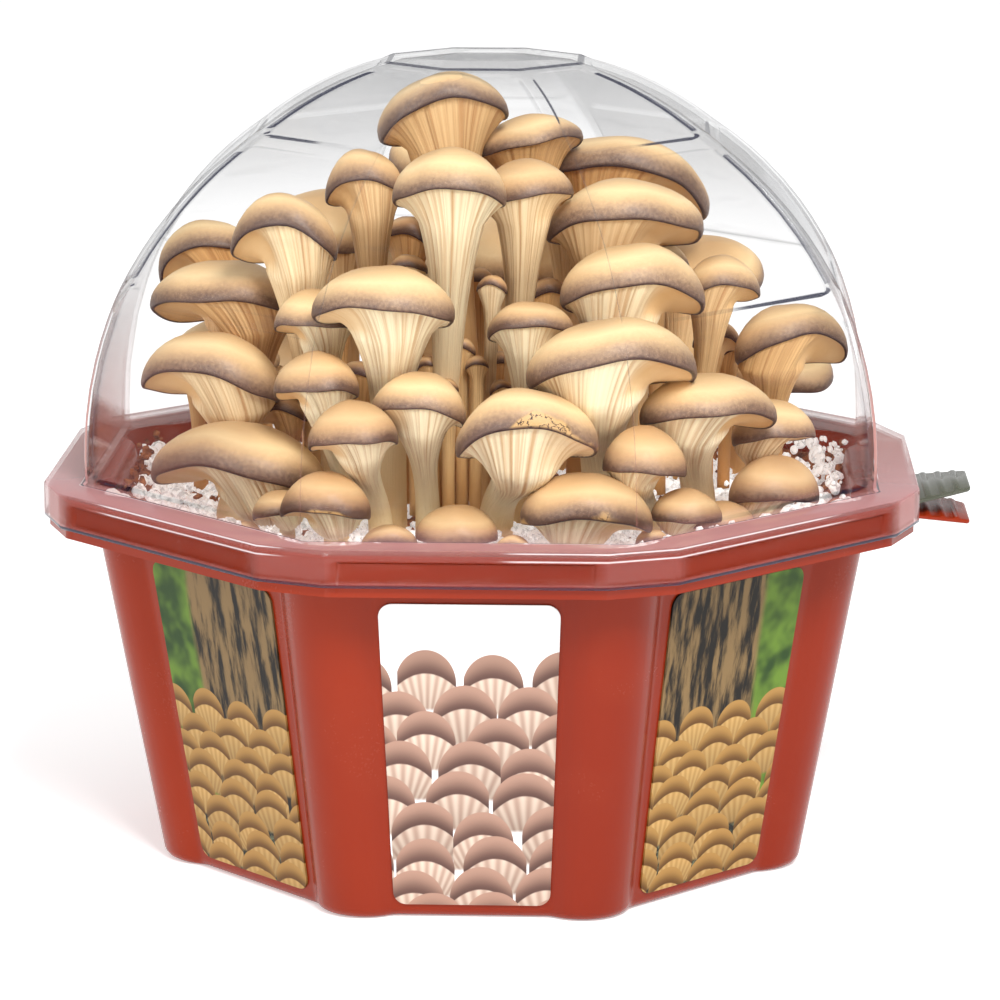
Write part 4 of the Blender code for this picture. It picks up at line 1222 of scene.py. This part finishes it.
    # the numbers of each ring's points, and of the two ends: the foot's middle and the cap's top
    layers = {
        "cap": (np.repeat(cap, count), 0.0, 1.0),
        "face": (np.repeat(face, count), 0.0, 1.0),
        "edge": (np.repeat(edge, count), 0.0, 0.0),
        "down": (np.repeat(down, count), 1.0, 0.0),
        "groove": (groove.ravel(), 0.0, 0.0),
        "aside": (np.outer(reach, np.abs(np.cos(t))).ravel(), 0.0, 0.0),
        "lobe": ((in_gills[:, None] * outer[None]).ravel(), 0.0, 0.0),
        "around_x": (np.tile(np.cos(t), len(rings)), 0.0, 0.0),
        "around_y": (np.tile(np.sin(t), len(rings)), 0.0, 0.0),
    }
    layers = {name: np.append(values, ends) for name, (values, *ends) in layers.items()}
    one_value = {"dry": float(number in DRY_CAPS), "dark": DARK_CAPS.get(number, pale), "warm": deep}
    layers.update({name: np.full(len(points), value) for name, value in one_value.items()})
    return points, faces, layers


# %% The cluster's pieces
total = 0
for number, row in enumerate(MUSHROOMS, start=1):
    points, faces, layers = mushroom(number, row)
    piece(f"oyster_{number:02d}", points, faces, FLESH, "mushroom_flesh", [f"mushroom_{number:02d}"],
          layers, sharp=None)
    total += len(faces)
print("cluster:", len(MUSHROOMS), "mushrooms,", total, "faces")

# %% [markdown]
# ## Young mushrooms
#
# Deep between the stems stand a few small brown ones that never got room to open. They use the same
# recipe with short rows of their own, and join into one piece, because nobody handles them one by one.

# %% Young mushrooms
YOUNG = [
    ((-3.7, -34, 121.5), 3.1, 2.8, (-4, -31), -8, 0, 10),
    ((-0.4, -37, 118.5), 2.7, 2.4, (-1, -33), 6, 0, 10),
    ((-11.6, -34, 117.5), 3.0, 2.6, (-10, -31), 10, -5, 10),
    ((-7.0, -38, 113.5), 2.6, 2.3, (-7, -34), 0, 0, 10),
    ((5.0, -34, 112.5), 2.8, 2.4, (4, -31), 12, 0, 10),
    ((-45.5, -24, 104.0), 6.0, 5.0, (-43, -17), 6, -15, 14),
    ((-28.5, -22, 112.5), 5.0, 4.0, (-27, -17), 0, -5, 14),
    ((-17.9, -6, 142.0), 6.5, 5.5, (-14, -3), -8, -5, 14),
    ((-20.0, -24, 130.0), 4.5, 4.0, (-17, -17), 10, -5, 14),
    ((14.8, -10, 129.5), 5.5, 4.5, (13, -7), 8, 5, 14),
    ((54.0, 2, 117.0), 6.0, 5.0, (52, 5), -6, 18, 14),
    ((-35.0, -8, 126.0), 6.0, 5.0, (-33, -5), 6, -10, 14),
    ((-1.5, 1, 130.5), 4.6, 4.0, (-1, 4), -4, 0, 14),
    ((3.4, -6, 112.5), 4.2, 3.6, (3, -3), 5, 0, 14),
    ((58.0, 7, 113.5), 4.4, 3.8, (56, 9), 0, 18, 14),
    ((-18.5, -67, 84.6), 6.5, 3.6, (-18, -61), 6, -5, 8),
    ((9.0, -70, 84.2), 4.2, 2.8, (9, -66), -6, 3, 8),
    ((-51.0, -57, 84.0), 3.6, 2.6, (-50, -54), 6, -15, 8),
    ((39.5, -63, 84.2), 4.0, 2.8, (39, -59), -4, 12, 8),
]
# The first fifteen are dark and take the full painted warm shade; those after them stand in front, are
# pale and take little of it.
FIRST_PALE = 15
YOUNG_FIRST_NUMBER = 101
young_parts, young_layers = [], []
for number, row in enumerate(YOUNG, start=YOUNG_FIRST_NUMBER):
    points, faces, layers = mushroom(number, row)
    pale = number >= YOUNG_FIRST_NUMBER + FIRST_PALE
    layers["dark"][:] = 0.45 if pale else 1.0
    layers["warm"][:] = 0.3 if pale else 1.0
    young_parts.append((points, faces))
    young_layers.append(layers)
all_layers = {name: np.concatenate([layers[name] for layers in young_layers])
              for name in young_layers[0]}
piece("young_mushrooms", *joined(young_parts), FLESH, "mushroom_flesh", layers=all_layers, sharp=None)
print("young mushrooms:", len(YOUNG))

# %% [markdown]
# ## Labels
#
# Each label is a glossy printed sticker with rounded corners. Its picture is a made-up pattern of
# overlapping fans in the colours of its kind: the mesh keeps each point's place across the label and
# up it, and the nodes lay rows of fans over a ground, row behind row.


# %% Label finishes
def fan_rows(made, ground, x, z, pitch, step, amount, rim, body, streak):
    """Lays three overlapping rows of fans over the ground, the row behind first.

    amount turns a row's height into the share of its fans that are drawn. Each fan has two random
    numbers, seed and twin, that move it, narrow it and shade it."""
    shown = ground
    for behind in (3, 2, 1):
        row = (z / step).floor() + behind
        wobble = made.node("ShaderNodeTexWhiteNoise", {"noise_dimensions": "1D"},
                           {"W": row * 7.31}, "Value")
        along = x / pitch + wobble
        cell = along.floor()
        seed = made.node("ShaderNodeTexWhiteNoise", {"noise_dimensions": "2D"},
                         {"Vector": made.node("ShaderNodeCombineXYZ", {}, {0: cell, 1: row})}, "Value")
        twin = (seed * 17.3).fraction()
        dx = (along.fraction() - 0.5) * 2 + (twin - 0.5) * 0.3
        dz = (z - row * step) / step + 1.12 + seed * 0.40
        far = (dx * dx * (twin * 0.25 + 0.92) + dz * dz * (dz.rise(-0.1, 0.1) * 0.75 + 0.08)) ** 0.5
        inside = far.rise(1.0, 0.97) * dz.rise(-1.0, -0.8)
        present = (amount(row * step) - seed).rise(-0.01, 0.01)
        rays = ((dx / (dz + 2.0).at_least(0.3)) * (twin * 16.0 + 34.0)).wave() * 0.5 + 0.5
        arch = dz + dx * dx * 0.55
        under = arch.rise(0.34, 0.28)
        cap_tone = made.mix(arch.rise(1.05, 0.30), body, rim)
        gill_tone = made.mix(rays * 0.7, streak, body)
        colour = made.mix(under, cap_tone, gill_tone)
        shade = ((dz + 0.9) * 0.34 + 0.50 + twin * 0.16).at_least(0.40).at_most(1.05)
        colour = made.mix(1.0, colour, made.node("ShaderNodeCombineColor", {},
                                                 {0: shade, 1: shade, 2: shade}), "MULTIPLY")
        shown = made.mix(inside * present, shown, colour)
    return shown


def forest_ground(made, x, z, bark_side):
    """Blurred leaves beside a trunk, over dark speckled soil."""
    leaf = made.noise(120.0, 2.0).rise(0.35, 0.65)
    leaves = made.mix(leaf, (0.015, 0.045, 0.005), (0.11, 0.20, 0.02))
    bark = made.noise(430.0, 5.0, 0.6, (1.0, 1.0, 0.055)).rise(0.38, 0.60)
    trunk = made.mix(bark, (0.006, 0.004, 0.002), (0.20, 0.125, 0.050))
    ground = made.mix((x * bark_side + made.noise(60.0, 2.0) * 4.0).rise(-8.0, -5.5), leaves, trunk)
    soil = made.mix(made.noise(900.0, 4.0).rise(0.45, 0.70), (0.010, 0.010, 0.007), (0.13, 0.14, 0.08))
    return made.mix(z.rise(19.0, 15.0), ground, soil)


def print_finish(shown):
    shown.finish.set(Base_Color=shown, Roughness=0.30, IOR=1.45, Specular_IOR_Level=0.2)
    return shown.finish


def front_print():
    made = Finish("front_print")
    shown = fan_rows(made, (0.90, 0.885, 0.885), made.layer("label_x"), made.layer("label_z"), 14.5, 7.2,
                     lambda level: level.rise(74.0, 60.0) * 1.1, (0.10, 0.052, 0.043),
                     (0.36, 0.215, 0.160), (0.66, 0.52, 0.42))
    return print_finish(shown)


def side_print(name, bark_side):
    made = Finish(name)
    x, z = made.layer("label_x"), made.layer("label_z")
    shown = fan_rows(made, forest_ground(made, x, z, bark_side), x, z, 12.0, 5.2,
                     lambda level: level.rise(4.0, 9.0) * level.rise(58.0, 40.0) * 1.1,
                     (0.10, 0.040, 0.006), (0.34, 0.185, 0.050), (0.50, 0.31, 0.11))
    return print_finish(shown)


# %% Label meshes
# Side of the tub in degrees, half width at the top and at the foot.
LABELS = {"label_front": (0, 19.8, 17.5), "label_left": (-45, 20.8, 18.8),
          "label_right": (45, 20.8, 18.8)}
LABEL_TOP, LABEL_FOOT, LABEL_THICKNESS, LABEL_CORNER, LABEL_BACK = 75.0, 3.2, 0.2, 3.0, GAP - 0.25


def panel_distance(height, side):
    """Distance from the axis to the middle of a flat panel of the tub at this height."""
    half = FRONT_HALF_ANGLE if side % 90 == 0 else 45.0 - FRONT_HALF_ANGLE
    return float(pillar_reach(PILLAR_EDGE, crown_at(height))) * math.cos(math.radians(half - PILLAR_EDGE))


def label_outline(half_top, half_foot):
    """Points (x, z) round a label that is wider at the top, with rounded corners."""
    corners = [(-half_foot, LABEL_FOOT, 180), (half_foot, LABEL_FOOT, 270),
               (half_top, LABEL_TOP, 0), (-half_top, LABEL_TOP, 90)]
    outline = []
    for across, height, start in corners:
        middle_x = across - math.copysign(LABEL_CORNER, across)
        middle_z = height + (LABEL_CORNER if height == LABEL_FOOT else -LABEL_CORNER)
        for turn in np.radians(start + np.linspace(0, 90, 9)):
            outline.append((middle_x + LABEL_CORNER * math.cos(turn),
                            middle_z + LABEL_CORNER * math.sin(turn)))
    return np.array(outline)


def label_piece(node, side, half_top, half_foot, finish):
    """One sticker: its outline behind and in front, turned to its side of the tub."""
    outline = label_outline(half_top, half_foot)
    x, z = outline.T
    turn = math.radians(side)
    spin = np.array([[math.cos(turn), -math.sin(turn), 0], [math.sin(turn), math.cos(turn), 0],
                     [0, 0, 1]])
    wall = np.array([panel_distance(height, side) for height in z])
    points, faces = lofted([np.stack([x, -(wall + lift), z], -1) @ spin.T
                            for lift in (LABEL_BACK, GAP + LABEL_THICKNESS)])
    layers = {name: np.concatenate([values, values, [middle] * 2])
              for name, values, middle in zip(("label_x", "label_z"), outline.T, outline.mean(0))}
    piece(node.replace("label", "sticker"), points, faces, finish, "printed_label", [node], layers,
          sharp=30.0)


LABEL_FINISHES = {"label_front": front_print(), "label_left": side_print("left_print", 1),
                  "label_right": side_print("right_print", -1)}
for node, shape in LABELS.items():
    label_piece(node, *shape, LABEL_FINISHES[node])
print("labels:", ", ".join(LABELS))

# %% [markdown]
# ## Studio
#
# A pale floor, a bright even sky and two soft lamps: the plain light of a catalogue picture. Two tall
# narrow lamps in front give light to gloss only.


# %% Floor, lamps and sky
# In metres, a hair under the tub's foot.
FLOOR_HALF, FLOOR_HEIGHT = 6.0, -0.0002


def floor():
    made = Finish("studio_floor")
    made.set(Base_Color=(0.93, 0.93, 0.93), Roughness=0.8, Emission_Color=(1.0, 1.0, 1.0),
             Emission_Strength=0.36)
    mesh = bpy.data.meshes.new("studio_floor")
    corners = [(x * FLOOR_HALF, y * FLOOR_HALF, FLOOR_HEIGHT)
               for x, y in ((-1, -1), (1, -1), (1, 1), (-1, 1))]
    mesh.from_pydata(corners, [], [(0, 1, 2, 3)])
    mesh.materials.append(made.material)
    ground = bpy.data.objects.new("studio_floor", mesh)
    bpy.context.scene.collection.objects.link(ground)


def lamp(name, place, width, height, power):
    light = bpy.data.lights.new(name, "AREA")
    light.shape, light.size, light.size_y, light.energy = "RECTANGLE", width, height, power
    made = bpy.data.objects.new(name, light)
    made.location = place
    made.rotation_euler = (LOOK_AT - Vector(place)).to_track_quat("-Z", "Y").to_euler()
    bpy.context.scene.collection.objects.link(made)
    return made


def sky(strength):
    """White light of this strength from all round, and pure white where the camera sees it."""
    world = bpy.data.worlds.new("studio_sky")
    world.use_nodes = True
    nodes, links = world.node_tree.nodes, world.node_tree.links
    backdrop = nodes["Background"]
    backdrop.inputs["Color"].default_value = (1.0, 1.0, 1.0, 1.0)
    seen = nodes.new("ShaderNodeLightPath").outputs["Is Camera Ray"]
    blend = nodes.new("ShaderNodeMix")
    blend.inputs["A"].default_value, blend.inputs["B"].default_value = strength, 1.0
    links.new(seen, blend.inputs["Factor"])
    links.new(blend.outputs["Result"], backdrop.inputs["Strength"])
    bpy.context.scene.world = world


floor()
lamp("key_lamp", (0.30, -0.85, 0.90), 0.36, 0.36, 14.0)
lamp("fill_lamp", (-0.8, -0.6, 0.45), 0.5, 0.5, 2.2)
for name, place in (("left_strip", (-0.42, -1.0, 0.25)), ("right_strip", (0.62, -0.95, 0.25))):
    lamp(name, place, 0.11, 0.9, 9.0).visible_diffuse = False
sky(0.70)
bpy.context.scene.view_settings.view_transform = "Standard"
print("studio ready")
